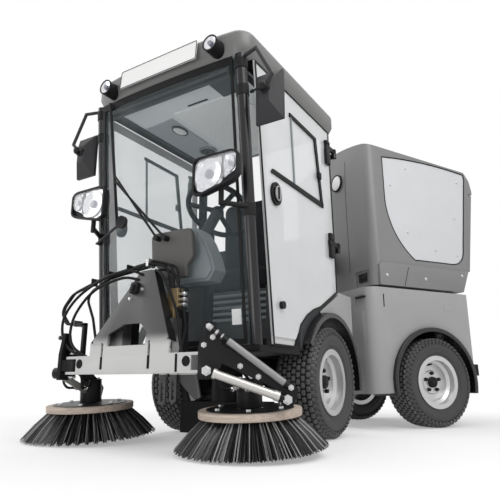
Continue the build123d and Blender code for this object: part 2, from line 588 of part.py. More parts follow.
# Brush arm, drawn for the left side with its bar straight behind the kingpin
MOTOR_Z = 285
with BuildPart() as arm_left:
    add(rod_between((0, 0, BEAM_BOTTOM + 13), (0, 0, BEAM_TOP - 13), 30))
    add(rod_between((0, 0, BEAM_BOTTOM - 10), (0, 0, BEAM_TOP + 13), KINGPIN_RADIUS))
    add(box_between((0, -26, BEAM_BOTTOM + 16), (BAR_OFFSET + 8, 26, BEAM_TOP - 16)))
    with BuildSketch(Plane.YZ.offset(BAR_OFFSET)) as plate:
        Polygon((-34, 300), (36, 300), (60, 360), (288, 256), (288, 205), (336, 205), (356, 262), (330, 288), (60, 428),
                (30, 520), (-12, 520), (-34, 420), align=None)
    extrude(plate.sketch, amount=16)
    # Columns: reach, height, radius and outer end of each pin through the plate
    for reach, height, radius, head in [(0, 332, 26, 96), (308, 226, 18, 92), (6, 500, 9, 92), (322, 270, 9, 92)]:
        add(rod_between((BAR_OFFSET + 4, reach, height), (head, reach, height), radius))
    add(rod_between((BAR_OFFSET + 32, 6, 500), (BAR_OFFSET + 32, 90, 439), 6))
    add(rod_between((BAR_OFFSET + 32, 86, 442), (BAR_OFFSET + 32, 322, 270), 13))
    add(rod_between((BAR_OFFSET + 34, 0, 332), (BAR_OFFSET + 34, 308, 226), 14))
arm_right = mirror(arm_left.part, about=Plane.YZ)

with BuildPart() as disc:
    with Locations((0, 0, -DISC_THICKNESS / 2)):
        Cylinder(DISC_RADIUS, DISC_THICKNESS)
        Cylinder(BRUSH_SHAFT_RADIUS + RUNNING_GAP, DISC_THICKNESS, mode=Mode.SUBTRACT)
BRISTLE_ROOT_IN = 160
BRISTLE_ROOT_OUT = 206
with BuildPart() as tuft:
    with BuildSketch(Plane.XZ):
        Polygon((BRISTLE_ROOT_IN, -DISC_THICKNESS), (BRISTLE_ROOT_OUT, -DISC_THICKNESS),
                (BRISTLE_RADIUS, -BRISTLE_DROP), (BRISTLE_RADIUS - 60, -BRISTLE_DROP), align=None)
    revolve(axis=Axis.Z, revolution_arc=TUFT_ARC)
with BuildPart() as bristles:
    with BuildSketch(Plane.XZ):
        Polygon((BRISTLE_ROOT_IN, -DISC_THICKNESS), (BRISTLE_ROOT_OUT, -DISC_THICKNESS),
                (BRISTLE_ROOT_OUT, -DISC_THICKNESS - 6), (BRISTLE_ROOT_IN + 6, -DISC_THICKNESS - 6), align=None)
    revolve(axis=Axis.Z)
    with PolarLocations(0, TUFTS):
        add(tuft.part)

# Columns: label, arm, side, bar angle outwards, brush angle outwards, brush reach
arm_places = [
    ("left", arm_left.part, 1, 54, LEFT_SWING, 245),
    ("right", arm_right, -1, 16, RIGHT_SWING, 298),
]
brush_centres = {}
for label, arm, side, bar_angle, swing, reach in arm_places:
    hung = Location((side * KINGPIN_X, KINGPIN_Y, 0), (0, 0, -side * bar_angle))
    centre = (side * (KINGPIN_X + reach * sin(radians(swing))), KINGPIN_Y + reach * cos(radians(swing)), DISC_TOP)
    brush_centres[label] = centre
    clamp = tuple((hung * Location((side * (BAR_OFFSET + 8), 200, MOTOR_Z))).position)
    spin = Location(centre, (BRUSH_TILT, 0, 0))
    with BuildPart() as arm_and_motor:
        add(hung * arm)
        add(rod_between(clamp, (centre[0], centre[1], MOTOR_Z), 20))
        for foot, head, radius in [(6, 122, 54), (-DISC_THICKNESS, 20, BRUSH_SHAFT_RADIUS)]:
            add(spin * rod_between((0, 0, foot), (0, 0, head), radius))
    front_pieces[f"brush_arm_{label}"] = arm_and_motor.part
    front_pieces[f"brush_disc_{label}"] = spin * disc.part
    front_pieces[f"bristles_{label}"] = spin * bristles.part

# Rear frame with the pivot tongue, engine block and tow jaw
with BuildPart() as rear_frame:
    for side in (-1, 1):
        add(box_between((side * rail_in, 170, RAIL_BOTTOM), (side * rail_out, TOW_Y - 70, RAIL_TOP)))
    add(box_between((-rail_out, 170, RAIL_BOTTOM), (rail_out, 230, RAIL_TOP)))
    for cross_y, reach in [(BODY_FRONT_Y + BODY_WALL + BODY_CORNER, BODY_HALF - BODY_WALL), (TOW_Y - 120, 420)]:
        add(box_between((-reach, cross_y, RAIL_BOTTOM), (reach, cross_y + 50, RAIL_TOP)))
    add(box_between((-45, 0, 342), (45, 190, 416)))
    add(rod_between((0, 0, 322), (0, 0, 438), 60))
    add(rod_between((0, 0, 280), (0, 0, 482), PIVOT_PIN_RADIUS))
rear_pieces["rear_frame"] = rear_frame.part
rear_pieces["engine"] = box_between((-200, 370, RAIL_TOP), (200, 1000, 760))

with BuildPart() as tow_jaw:
    add(box_between((-60, TOW_Y - 70, RAIL_BOTTOM), (60, TOW_Y - 48, RAIL_TOP)))
    for low, high in [(RAIL_BOTTOM, RAIL_BOTTOM + 16), (RAIL_TOP - 16, RAIL_TOP)]:
        add(box_between((-45, TOW_Y - 48, low), (45, TOW_Y, high)))
        add(rod_between((0, TOW_Y, low), (0, TOW_Y, high), 45))
    add(rod_between((0, TOW_Y, 300), (0, TOW_Y, 460), 16), mode=Mode.SUBTRACT)
rear_pieces["tow_jaw"] = tow_jaw.part

# Lower rear body: an open-bottomed shell with wheel arches, a grip recess and tip hinge lugs
GRIP_DEPTH = 8
TIP_PIN_RADIUS = 9
TIP_KNUCKLE_RADIUS = 16


def body_form(wall, foot):
    """Return the lower body's closed form, drawn in by a wall thickness and down to a foot height."""
    half = BODY_HALF - wall
    front, rear, top = BODY_FRONT_Y + wall, BODY_REAR_Y - wall, BODY_TOP - wall
    with BuildPart() as form:
        add(side_plate([(front, foot), (front, top), (rear, top), (rear, foot + 32)], -half, half))
        fillet(edges().filter_by(Axis.Z).group_by(Axis.Y)[0], radius=BODY_CORNER - wall)
    return form.part


with BuildPart() as rear_body:
    add(body_form(0, 218))
    add(body_form(BODY_WALL, 150), mode=Mode.SUBTRACT)
    add(arch_drums["rear_fenders"], mode=Mode.SUBTRACT)
    add(box_between((370, BODY_FRONT_Y - 5, 745), (BODY_HALF - 20, BODY_FRONT_Y + GRIP_DEPTH, 852)), mode=Mode.SUBTRACT)
    for notch_y in (BODY_FRONT_Y, BODY_REAR_Y):
        add(box_between((-200, notch_y - 30, 150), (200, notch_y + 30, RAIL_TOP + 12)), mode=Mode.SUBTRACT)
    for side in (-1, 1):
        near, far = side * 330, side * 345
        add(box_between((near, BODY_REAR_Y - 5, TIP_AXIS[1] - 16), (far, TIP_AXIS[0], TIP_AXIS[1] + 3)))
        add(rod_between((near, *TIP_AXIS), (far, *TIP_AXIS), TIP_KNUCKLE_RADIUS))
        add(rod_between((near, *TIP_AXIS), (side * 364, *TIP_AXIS), TIP_PIN_RADIUS))
rear_pieces["rear_body"] = rear_body.part

with BuildPart() as rear_lamps:
    for side in (-1, 1):
        add(box_between((side * 390, BODY_REAR_Y, 560), (side * 490, BODY_REAR_Y + 28, 660)))
rear_pieces["rear_lamps"] = rear_lamps.part

# Hopper: a crowned shell, open at the back, with a latch recess and pockets for the side sheets
hopper_profile = [
    (HOPPER_FRONT_Y, HOPPER_FLOOR), (HOPPER_FRONT_Y, 2080), (1060, 2080), (1150, 1940), (1215, 1880), (1258, 1824),
    (1278, 1740), (1278, 1712), (1238, 1712), (1131, 1078), (1062, HOPPER_FLOOR)]
gate_outline = [(1139, 1088), (1173, 1088), (1277, 1706), (1243, 1706)]


def hopper_form(wall):
    """Return the hopper's closed form, drawn in by a wall thickness."""
    half = HOPPER_HALF - wall
    side_z, crown_z = HOPPER_SIDE_Z - wall, HOPPER_CROWN_Z - wall
    with BuildPart() as form:
        with BuildSketch(Plane.YZ.offset(-half)):
            Polygon(*hopper_profile, align=None)
            if wall:
                offset(amount=-wall, mode=Mode.REPLACE)
        extrude(amount=2 * half)
        with BuildSketch(Plane.XZ.offset(-HOPPER_FRONT_Y)) as section:
            with BuildLine():
                ThreePointArc((-half, side_z), (0, crown_z), (half, side_z))
                Polyline((half, side_z), (half, 0), (-half, 0), (-half, side_z))
            make_face()
        extrude(section.sketch, amount=1100, dir=(0, 1, -HOPPER_FALL), mode=Mode.INTERSECT)
        if not wall:
            fillet(edges().filter_by(Axis.Z).group_by(Axis.Y)[0], radius=60)
    return form.part


def sheet_form(side, gap, depth):
    """Return one side sheet's outline made solid inwards from the hopper's side, drawn in by a gap."""
    with BuildPart() as form:
        with BuildSketch(Plane.YZ.offset(side * (HOPPER_HALF - SHEET_DEPTH))):
            with BuildLine():
                ThreePointArc((408, 1867), (777, 1888), (1195, 1866))
                Polyline((1195, 1866), (1210, 1830), (1119, 1225))
                ThreePointArc((1119, 1225), (1086, 1158), (1012, 1127))
                Line((1012, 1127), (644, 1124))
                ThreePointArc((644, 1124), (478, 1310), (410, 1600))
                Line((410, 1600), (408, 1867))
            make_face()
            if gap:
                offset(amount=-gap, mode=Mode.REPLACE)
        extrude(amount=side * depth)
    return form.part


with BuildPart() as hopper:
    add(hopper_form(0))
    add(side_plate([(312, HOPPER_FLOOR), (312, 1060), (330, 1078), (1130, 1078), (1062, HOPPER_FLOOR)],
                   -HOPPER_HALF - 18, HOPPER_HALF + 18))
    add(rod_between((152, HOPPER_FRONT_Y - 8, 1762), (152, HOPPER_FRONT_Y, 1762), 70))
    add(hopper_form(HOPPER_WALL), mode=Mode.SUBTRACT)
    add(box_between((312, HOPPER_FRONT_Y - 5, 932), (HOPPER_HALF - 45, HOPPER_FRONT_Y + GRIP_DEPTH, 1034)), mode=Mode.SUBTRACT)
    inner_x = HOPPER_HALF - HOPPER_WALL
    add(side_plate([(1000, 1110), (1300, 1110), (1300, 1694), (1000, 1694)], -inner_x, inner_x), mode=Mode.SUBTRACT)
    for side in (-1, 1):
        add(sheet_form(side, 0, SHEET_DEPTH + 40), mode=Mode.SUBTRACT)
        near, far = side * 347, side * 362
        add(side_plate([(TIP_AXIS[0] - 60, HOPPER_FLOOR), (TIP_AXIS[0] - 16, TIP_AXIS[1]),
                        (TIP_AXIS[0] + 16, TIP_AXIS[1]), (TIP_AXIS[0] + 16, 1078), (TIP_AXIS[0] + 6, 1050)], near, far))
        add(rod_between((near, *TIP_AXIS), (far, *TIP_AXIS), TIP_KNUCKLE_RADIUS))
        add(rod_between((near, *TIP_AXIS), (far, *TIP_AXIS), TIP_PIN_RADIUS + RUNNING_GAP), mode=Mode.SUBTRACT)
        near, far = side * 270, side * 298
        add(side_plate([(1270, 1716), (1270, 1744), (1306, 1706), (1306, 1694), (1282, 1694), (1282, 1716)], near, far))
        add(rod_between((near, *GATE_AXIS), (far, *GATE_AXIS), 14))
        add(rod_between((near, *GATE_AXIS), (side * 342, *GATE_AXIS), GATE_PIN_RADIUS))
rear_pieces["hopper"] = hopper.part

with BuildPart() as sheets:
    for side in (-1, 1):
        add(sheet_form(side, 4, 5))
rear_pieces["hopper_sheets"] = sheets.part

# Tailgate, hung from the hopper's rear header
with BuildPart() as tailgate:
    add(side_plate(gate_outline, 5 - HOPPER_HALF, HOPPER_HALF - 5))
    for side in (-1, 1):
        add(box_between((side * 262, 1230, 1668), (side * 299, 1300, 1720)), mode=Mode.SUBTRACT)
        near, far = side * 300, side * 340
        add(side_plate([(1258, 1630), (1306, 1694), (1306, 1706), (1282, 1706), (1262, 1690)], near, far))
        add(rod_between((near, *GATE_AXIS), (far, *GATE_AXIS), 14))
        add(rod_between((side * 290, *GATE_AXIS), (side * 350, *GATE_AXIS), GATE_PIN_RADIUS + RUNNING_GAP),
            mode=Mode.SUBTRACT)
rear_pieces["tailgate"] = tailgate.part

# Turn the rear section, bring the origin under the middle of the whole, and write
rear_turn = Location((0, 0, 0), (0, 0, -STEER_AT_REST))
placed = dict(front_pieces)
placed.update({label: rear_turn * piece for label, piece in rear_pieces.items()})
bounds = [piece.bounding_box() for piece in placed.values()]
middle_x = (min(b.min.X for b in bounds) + max(b.max.X for b in bounds)) / 2
middle_y = (min(b.min.Y for b in bounds) + max(b.max.Y for b in bounds)) / 2
to_row = Location((-middle_x, -middle_y, -min(b.min.Z for b in bounds)))
os.makedirs("parts", exist_ok=True)
for label, piece in placed.items():
    piece = to_row * piece
    piece.label = label
    export_step(piece, f"parts/{label}.step")
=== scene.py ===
"""Looks of the compact street sweeper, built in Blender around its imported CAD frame."""

from __future__ import annotations

import cmath
import json
import logging
import math
import random
from dataclasses import dataclass, field
from enum import Enum
from typing import Iterable, Sequence

import bmesh
import bpy
from bmesh.types import BMesh, BMVert
from bpy.types import Material, Mesh, Node, NodeSocket, NodeTree, Object
from mathutils import Matrix, Vector

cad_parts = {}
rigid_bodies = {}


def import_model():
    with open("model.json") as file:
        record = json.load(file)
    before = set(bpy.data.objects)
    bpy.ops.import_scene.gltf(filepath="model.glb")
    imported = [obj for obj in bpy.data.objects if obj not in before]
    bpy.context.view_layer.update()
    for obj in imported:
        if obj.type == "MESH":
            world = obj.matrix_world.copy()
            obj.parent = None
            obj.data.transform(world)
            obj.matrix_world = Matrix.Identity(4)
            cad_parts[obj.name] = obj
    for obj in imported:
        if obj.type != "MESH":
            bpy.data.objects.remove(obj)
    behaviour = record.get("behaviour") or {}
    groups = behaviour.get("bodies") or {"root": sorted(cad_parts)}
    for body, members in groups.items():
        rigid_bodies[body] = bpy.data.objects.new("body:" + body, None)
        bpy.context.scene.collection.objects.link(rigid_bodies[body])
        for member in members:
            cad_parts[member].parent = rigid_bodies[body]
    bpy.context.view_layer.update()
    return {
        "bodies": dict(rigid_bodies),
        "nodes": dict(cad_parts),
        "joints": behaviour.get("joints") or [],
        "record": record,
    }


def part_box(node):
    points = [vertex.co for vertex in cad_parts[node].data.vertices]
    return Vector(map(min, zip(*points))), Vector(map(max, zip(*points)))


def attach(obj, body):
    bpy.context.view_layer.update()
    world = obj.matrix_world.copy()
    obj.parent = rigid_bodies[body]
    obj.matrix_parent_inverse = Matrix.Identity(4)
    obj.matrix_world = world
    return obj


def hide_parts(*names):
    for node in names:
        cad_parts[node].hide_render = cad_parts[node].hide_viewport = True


LOG = logging.getLogger("sweeper")
SEED = 11
GRAIN_HEIGHT = 0.002
COAT_ROUGHNESS = 0.08
TONE = "tone"
# Turns a piece's z axis to point ahead, along -y
AHEAD = Matrix.Rotation(math.pi / 2, 4, "X")
Numbers = Sequence[float]
Pair = tuple[float, float]
Triple = tuple[float, float, float]


class Slot(str, Enum):
    """Material slots of the record that pieces take their finish from."""

    BODY = "body_grey"
    PALE = "pale_grey"
    BLACK = "frame_black"
    GREY = "frame_grey"
    PLASTIC = "black_plastic"
    RUBBER = "black_rubber"
    TRIM = "trim_grey"
    GLASS = "clear_glass"
    TYRE = "tyre_black"
    RIM = "rim_silver"
    WOOD = "brush_wood"
    BRISTLE = "bristle_black"
    SHEET = "sheet_metal"
    CLOTH = "seat_cloth"
    LENS = "lamp_lens"
    IRON = "engine_iron"
    STEEL = "bright_steel"


class Side(Enum):
    """The two sides of the machine, with the sign of x on each."""

    LEFT = 1
    RIGHT = -1

    @property
    def label(self) -> str:
        """Returns the side's name as it stands in body and node names."""
        return self.name.lower()


# Finishes


@dataclass(frozen=True)
class Finish:
    """A procedural surface with mottled colour, uneven gloss and a fine grain."""

    name: str
    slot: Slot
    colour: Triple
    roughness: float
    metallic: float = 0.0
    mottle: float = 0.05
    mottle_scale: float = 7.0
    grain: float = 0.06
    grain_scale: float = 650.0
    coat: float = 0.0
    alpha: float = 1.0
    specular: float = 0.5

    def material(self) -> Material:
        """Returns:
            The finish's material, made on first use.
        """
        known = bpy.data.materials.get(self.name)
        if known is not None:
            return known
        made = bpy.data.materials.new(self.name)
        made.use_nodes = True
        shader = made.node_tree.nodes["Principled BSDF"]
        for socket, value in (
                ("Metallic", self.metallic), ("Coat Weight", self.coat), ("Coat Roughness", COAT_ROUGHNESS),
                ("Alpha", self.alpha), ("Specular IOR Level", self.specular)):
            shader.inputs[socket].default_value = value
        self.dress(made.node_tree, shader)
        return made

    def dress(self, tree: NodeTree, shader: Node) -> None:
        """Links the mottled colour, gloss and grain to the shader.

        Args:
            tree: The material's node tree.
            shader: Its Principled shader.
        """
        place = tree.nodes.new("ShaderNodeTexCoord")
        cloud = self.noise(tree, place, self.mottle_scale, 4.0)
        self.tint(tree, shader, cloud, 1 - self.mottle, (0.06, 0.06))
        if self.grain > 0:
            fine = self.noise(tree, place, self.grain_scale, 2.0)
            bump = tree.nodes.new("ShaderNodeBump")
            bump.inputs["Strength"].default_value = self.grain
            bump.inputs["Distance"].default_value = GRAIN_HEIGHT
            tree.links.new(fine.outputs["Fac"], bump.inputs["Height"])
            tree.links.new(bump.outputs["Normal"], shader.inputs["Normal"])

    def tint(self, tree: NodeTree, shader: Node, cloud: Node, dark: float, swing: Pair) -> None:
        """Links colour and gloss that follow a noise to the shader.

        Args:
            tree: The material's node tree.
            shader: Its Principled shader.
            cloud: The noise node.
            dark: Share of the colour where the noise is low.
            swing: How far the roughness goes down and up.
        """
        mix, gloss = tree.nodes.new("ShaderNodeMix"), tree.nodes.new("ShaderNodeMapRange")
        mix.data_type = "RGBA"
        mix.inputs["A"].default_value = (*self.shade(dark), 1)
        mix.inputs["B"].default_value = (*self.shade(1 + self.mottle), 1)
        gloss.inputs["To Min"].default_value = max(0.02, self.roughness - swing[0])
        gloss.inputs["To Max"].default_value = min(1.0, self.roughness + swing[1])
        for node, entry, goal in ((mix, "Factor", "Base Color"), (gloss, "Value", "Roughness")):
            tree.links.new(cloud.outputs["Fac"], node.inputs[entry])
            tree.links.new(node.outputs["Result"], shader.inputs[goal])

    @staticmethod
    def scaled(tree: NodeTree, shader: Node, share: NodeSocket) -> None:
        """Multiplies the colour that is linked to the shader.

        Args:
            tree: The material's node tree.
            shader: Its Principled shader.
            share: The socket that the colour is multiplied by.
        """
        colour = shader.inputs["Base Color"].links[0].from_socket
        scale = tree.nodes.new("ShaderNodeVectorMath")
        scale.operation = "SCALE"
        tree.links.new(colour, scale.inputs[0])
        tree.links.new(share, scale.inputs["Scale"])
        tree.links.new(scale.outputs["Vector"], shader.inputs["Base Color"])

    def shade(self, share: float) -> Triple:
        """Returns the colour multiplied by a share, with no part over 1."""
        red, green, blue = (min(1.0, part * share) for part in self.colour)
        return red, green, blue

    @staticmethod
    def noise(tree: NodeTree, place: Node, scale: float, detail: float) -> Node:
        """Adds a noise texture on object coordinates.

        Args:
            tree: The node tree.
            place: Its texture coordinate node.
            scale: Noise cells per metre.
            detail: Octaves of detail.

        Returns:
            The noise node.
        """
        cloud = tree.nodes.new("ShaderNodeTexNoise")
        cloud.inputs["Scale"].default_value = scale
        cloud.inputs["Detail"].default_value = detail
        tree.links.new(place.outputs["Object"], cloud.inputs["Vector"])
        return cloud


@dataclass(frozen=True)
class WoodFinish(Finish):
    """Pale plywood: grain drawn out along x, with plies in the edge."""

    stretch: Triple = (5.0, 60.0, 170.0)

    def dress(self, tree: NodeTree, shader: Node) -> None:
        """Links stretched grain and plies to the shader.

        Args:
            tree: The material's node tree.
            shader: Its Principled shader.
        """
        place = tree.nodes.new("ShaderNodeTexCoord")
        stretch = tree.nodes.new("ShaderNodeMapping")
        stretch.inputs["Scale"].default_value = self.stretch
        tree.links.new(place.outputs["Object"], stretch.inputs["Vector"])
        grain = tree.nodes.new("ShaderNodeTexNoise")
        grain.inputs["Scale"].default_value = 1.0
        grain.inputs["Detail"].default_value = 5.0
        tree.links.new(stretch.outputs["Vector"], grain.inputs["Vector"])
        self.tint(tree, shader, grain, 1 - 3 * self.mottle, (0.08, 0.1))


@dataclass(frozen=True)
class CarrierFinish(Finish):
    """The carrier's satin steel: bright on the beam, darker up the leaning frame as painted shade, and darker
    on the hooks below.
    """

    # Heights and shares of the painted shade up the leaning frame, and of the darker hooks
    bright_top: float = 0.435
    dark_from: float = 0.5
    frame_share: float = 0.085
    hook_top: float = 0.322
    hook_blend: float = 0.003
    hook_share: float = 0.05

    def dress(self, tree: NodeTree, shader: Node) -> None:
        """Links the steel, the painted shade up the frame and the darker hooks to the shader.

        Args:
            tree: The material's node tree.
            shader: Its Principled shader.
        """
        super().dress(tree, shader)
        place, axes = tree.nodes.new("ShaderNodeTexCoord"), tree.nodes.new("ShaderNodeSeparateXYZ")
        both = tree.nodes.new("ShaderNodeMath")
        both.operation = "MULTIPLY"
        tree.links.new(place.outputs["Object"], axes.inputs["Vector"])
        # The first ramp paints shade up the leaning frame; the second darkens the hooks below
        for slot, (low, high, start, end) in enumerate((
                (self.bright_top, self.dark_from, 1.0, self.frame_share),
                (self.hook_top - self.hook_blend, self.hook_top, self.hook_share, 1.0))):
            ramp = tree.nodes.new("ShaderNodeMapRange")
            ramp.interpolation_type = "SMOOTHSTEP"
            for name, value in (("From Min", low), ("From Max", high), ("To Min", start), ("To Max", end)):
                ramp.inputs[name].default_value = value
            tree.links.new(axes.outputs["Z"], ramp.inputs["Value"])
            tree.links.new(ramp.outputs["Result"], both.inputs[slot])
        self.scaled(tree, shader, both.outputs["Value"])


@dataclass(frozen=True)
class TonedFinish(Finish):
    """A finish that is lighter or darker by the piece's own tone attribute, which paints light and shade on
    the tyres and highlights on the bristles.
    """

    def dress(self, tree: NodeTree, shader: Node) -> None:
        """Links the colour, scaled by the tone, to the shader.

        Args:
            tree: The material's node tree.
            shader: Its Principled shader.
        """
        super().dress(tree, shader)
        tone = tree.nodes.new("ShaderNodeAttribute")
        tone.attribute_name = TONE
        self.scaled(tree, shader, tone.outputs["Fac"])


class Look:
    """The finishes in use."""

    PAINT = Finish("moulded_grey", Slot.BODY, (0.19, 0.19, 0.19), 0.46, coat=0.06)
    ROOF = Finish("roof_grey", Slot.BODY, (0.135, 0.135, 0.132), 0.44, coat=0.08)
    BODY = Finish("lower_body_grey", Slot.BODY, (0.31, 0.31, 0.31), 0.46, coat=0.06)
    PALE = Finish("pale_grey_paint", Slot.PALE, (0.3, 0.3, 0.302), 0.42, coat=0.08)
    PANEL = Finish("wiper_panel_grey", Slot.PALE, (0.085, 0.083, 0.08), 0.5, specular=0.3)
    BORDER = Finish("pale_glass_border", Slot.PALE, (0.62, 0.62, 0.615), 0.5)
    HEADLINER = Finish("headliner_moulding", Slot.PALE, (0.74, 0.78, 0.8), 0.8, grain=0.2, grain_scale=420)
    LINING = Finish("darker_lining", Slot.TRIM, (0.38, 0.41, 0.43), 0.8, grain=0.2)
    SPECKLE = Finish("speckled_lining", Slot.PALE, (0.93, 0.97, 0.97), 0.9,
        mottle=0.3, mottle_scale=120, grain=0.7, grain_scale=160)
    GLOSS_BLACK = Finish("gloss_black_tube", Slot.BLACK, (0.008, 0.0078, 0.0095), 0.24, specular=0.4)
    BLACK = Finish("satin_black_steel", Slot.BLACK, (0.009, 0.009, 0.01), 0.38, specular=0.16)
    # Carrier steel with painted shade darkening it up the leaning frame
    GREY = CarrierFinish("carrier_steel", Slot.GREY, (0.46, 0.46, 0.455), 0.42)
    STRUT = Finish("strut_grey", Slot.GREY, (0.22, 0.22, 0.22), 0.42, metallic=0.3)
    TUBE = Finish("arm_tube_steel", Slot.STEEL, (0.5, 0.485, 0.465), 0.36, metallic=0.55)
    PLASTIC = Finish(
        "grained_black_plastic", Slot.PLASTIC, (0.011, 0.011, 0.012), 0.5, grain=0.2, specular=0.16)
    FENDER = Finish(
        "glossy_fender_plastic", Slot.PLASTIC, (0.012, 0.012, 0.013), 0.27, grain=0.08, specular=0.5)
    MIRROR_BACK = Finish(
        "mirror_back_plastic", Slot.PLASTIC, (0.026, 0.0255, 0.028), 0.5, grain=0.25, specular=0.25)
    RUBBER = Finish("matt_black_rubber", Slot.RUBBER, (0.008, 0.008, 0.008), 0.5, grain=0.12, specular=0.14)
    TRIM = Finish("dark_cab_trim", Slot.TRIM, (0.045, 0.047, 0.05), 0.55, grain=0.2, specular=0.3)
    COVER = Finish("column_cover_grey", Slot.TRIM, (0.2, 0.225, 0.235), 0.5, grain=0.15)
    WINDSCREEN = Finish(
        "screen_glass", Slot.GLASS, (0.22, 0.29, 0.31), 0.04, grain=0.0, alpha=0.055, coat=1.0)
    # The near door's glass is whitish: its pale colour paints the reflection of the white studio
    PANE = Finish("near_door_glass", Slot.GLASS, (0.7, 0.715, 0.725), 0.05, grain=0.0, alpha=0.7, coat=1.0)
    FAR_PANE = Finish("far_door_glass", Slot.GLASS, (0.6, 0.7, 0.73), 0.05, grain=0.0, alpha=0.26, coat=1.0)
    # The tyres' tone attribute paints light on the tread blocks and shade in the grooves
    TYRE = TonedFinish("tyre_rubber", Slot.TYRE, (0.022, 0.022, 0.022), 0.56,
        mottle=0.15, mottle_scale=24, grain=0.15, specular=0.35)
    RIM = Finish("silver_rim_paint", Slot.RIM, (0.55, 0.55, 0.55), 0.36, metallic=0.75)
    WOOD = WoodFinish("brush_plywood", Slot.WOOD, (0.56, 0.46, 0.385), 0.6, mottle=0.22)
    # Its strong fine mottle, with the strands' tone, paints streaks of highlight on the bristles
    BRISTLE = TonedFinish("brush_bristle", Slot.BRISTLE, (0.019, 0.019, 0.019), 0.34,
        mottle=0.5, mottle_scale=140, specular=0.4)
    SHEET = Finish("silver_sheet", Slot.SHEET, (0.58, 0.59, 0.605), 0.45, metallic=0.2, grain=0.03)
    CLOTH = Finish("woven_seat_cloth", Slot.CLOTH, (0.026, 0.027, 0.03), 0.9,
        mottle=0.3, mottle_scale=60, grain=0.5, specular=0.25)
    LENS = Finish("clear_lens", Slot.LENS, (0.82, 0.84, 0.86), 0.06, grain=0.0, alpha=0.16, coat=1.0)
    REFLECTOR = Finish("lamp_reflector", Slot.LENS, (0.74, 0.74, 0.77), 0.14,
        metallic=1.0, mottle=0.25, mottle_scale=70, grain=0.0)
    BULB = Finish("lamp_bulb", Slot.LENS, (0.2, 0.21, 0.25), 0.1, grain=0.0, coat=0.6)
    IRON = Finish("cast_engine_iron", Slot.IRON, (0.03, 0.03, 0.032), 0.55, grain=0.3)
    STEEL = Finish("bright_zinc", Slot.STEEL, (0.55, 0.55, 0.55), 0.28, metallic=0.95)
    BRASS = Finish(
        "valve_brass", Slot.STEEL, (0.22, 0.165, 0.085), 0.38, metallic=0.6, mottle=0.3, mottle_scale=40)
    # Near black: the speaker cone and the seams, and dark sheets that paint the shade in slots and holes
    DARK = Finish("dark_recess", Slot.PLASTIC, (0.008, 0.008, 0.009), 0.7, specular=0.12)
    MIRROR = Finish("mirror_silver", Slot.STEEL, (0.8, 0.82, 0.83), 0.04, metallic=1.0, grain=0.0)
    PLATE = Finish("blank_plate_white", Slot.PALE, (0.8, 0.8, 0.79), 0.35, mottle=0.02, coat=0.2)
    LAMP_AMBER = Finish("amber_lamp_lens", Slot.LENS, (0.75, 0.24, 0.02), 0.15, grain=0.0, coat=0.8)
    LAMP_RED = Finish("red_lamp_lens", Slot.LENS, (0.42, 0.018, 0.016), 0.15, grain=0.0, coat=0.8)


# Frame places


@dataclass
class Places:
    """Turns points of the front and rear frames about the steering pivot into the row frame."""

    pivot: Vector
    rear_turn: float
    joints: dict[str, dict]

    @classmethod
    def of(cls, frame: dict) -> "Places":
        """Reads the pivot and the rear's turn from the frame's joints.


        Returns:
            The places of this frame.
        """
        joints = {joint["name"]: joint for joint in frame["joints"]}
        pivot = Vector(joints["articulation"]["pos_m"])
        pivot.z = 0.0
        axle = Vector(joints["wheel_rear_left_spin"]["axis"])
        if axle.x < 0:
            axle.negate()
        return cls(pivot, math.atan2(axle.y, axle.x), joints)

    def front(self) -> Matrix:
        """Returns the matrix from the front frame to the row frame."""
        return Matrix.Translation(self.pivot)

    def rear(self) -> Matrix:
        """Returns the matrix from the rear frame to the row frame."""
        return Matrix.Translation(self.pivot) @ Matrix.Rotation(self.rear_turn, 4, "Z")

    def spin(self, joint: str, outward: Vector) -> Matrix:
        """Returns a frame at a joint, with z along its axis.

        Args:
            joint: The joint's name.
            outward: A direction that z is turned to the side of.

        Returns:
            The matrix from that frame to the row frame.
        """
        axis = Vector(self.joints[joint]["axis"]).normalized()
        if axis.dot(outward) < 0:
            axis.negate()
        across = Vector((1, 0, 0)) if abs(axis.x) < 0.5 else Vector((0, 0, 1))
        across = (across - axis * across.dot(axis)).normalized()
        turn = Matrix((across, axis.cross(across), axis)).transposed().to_4x4()
        return Matrix.Translation(Vector(self.joints[joint]["pos_m"])) @ turn


# Mesh tools


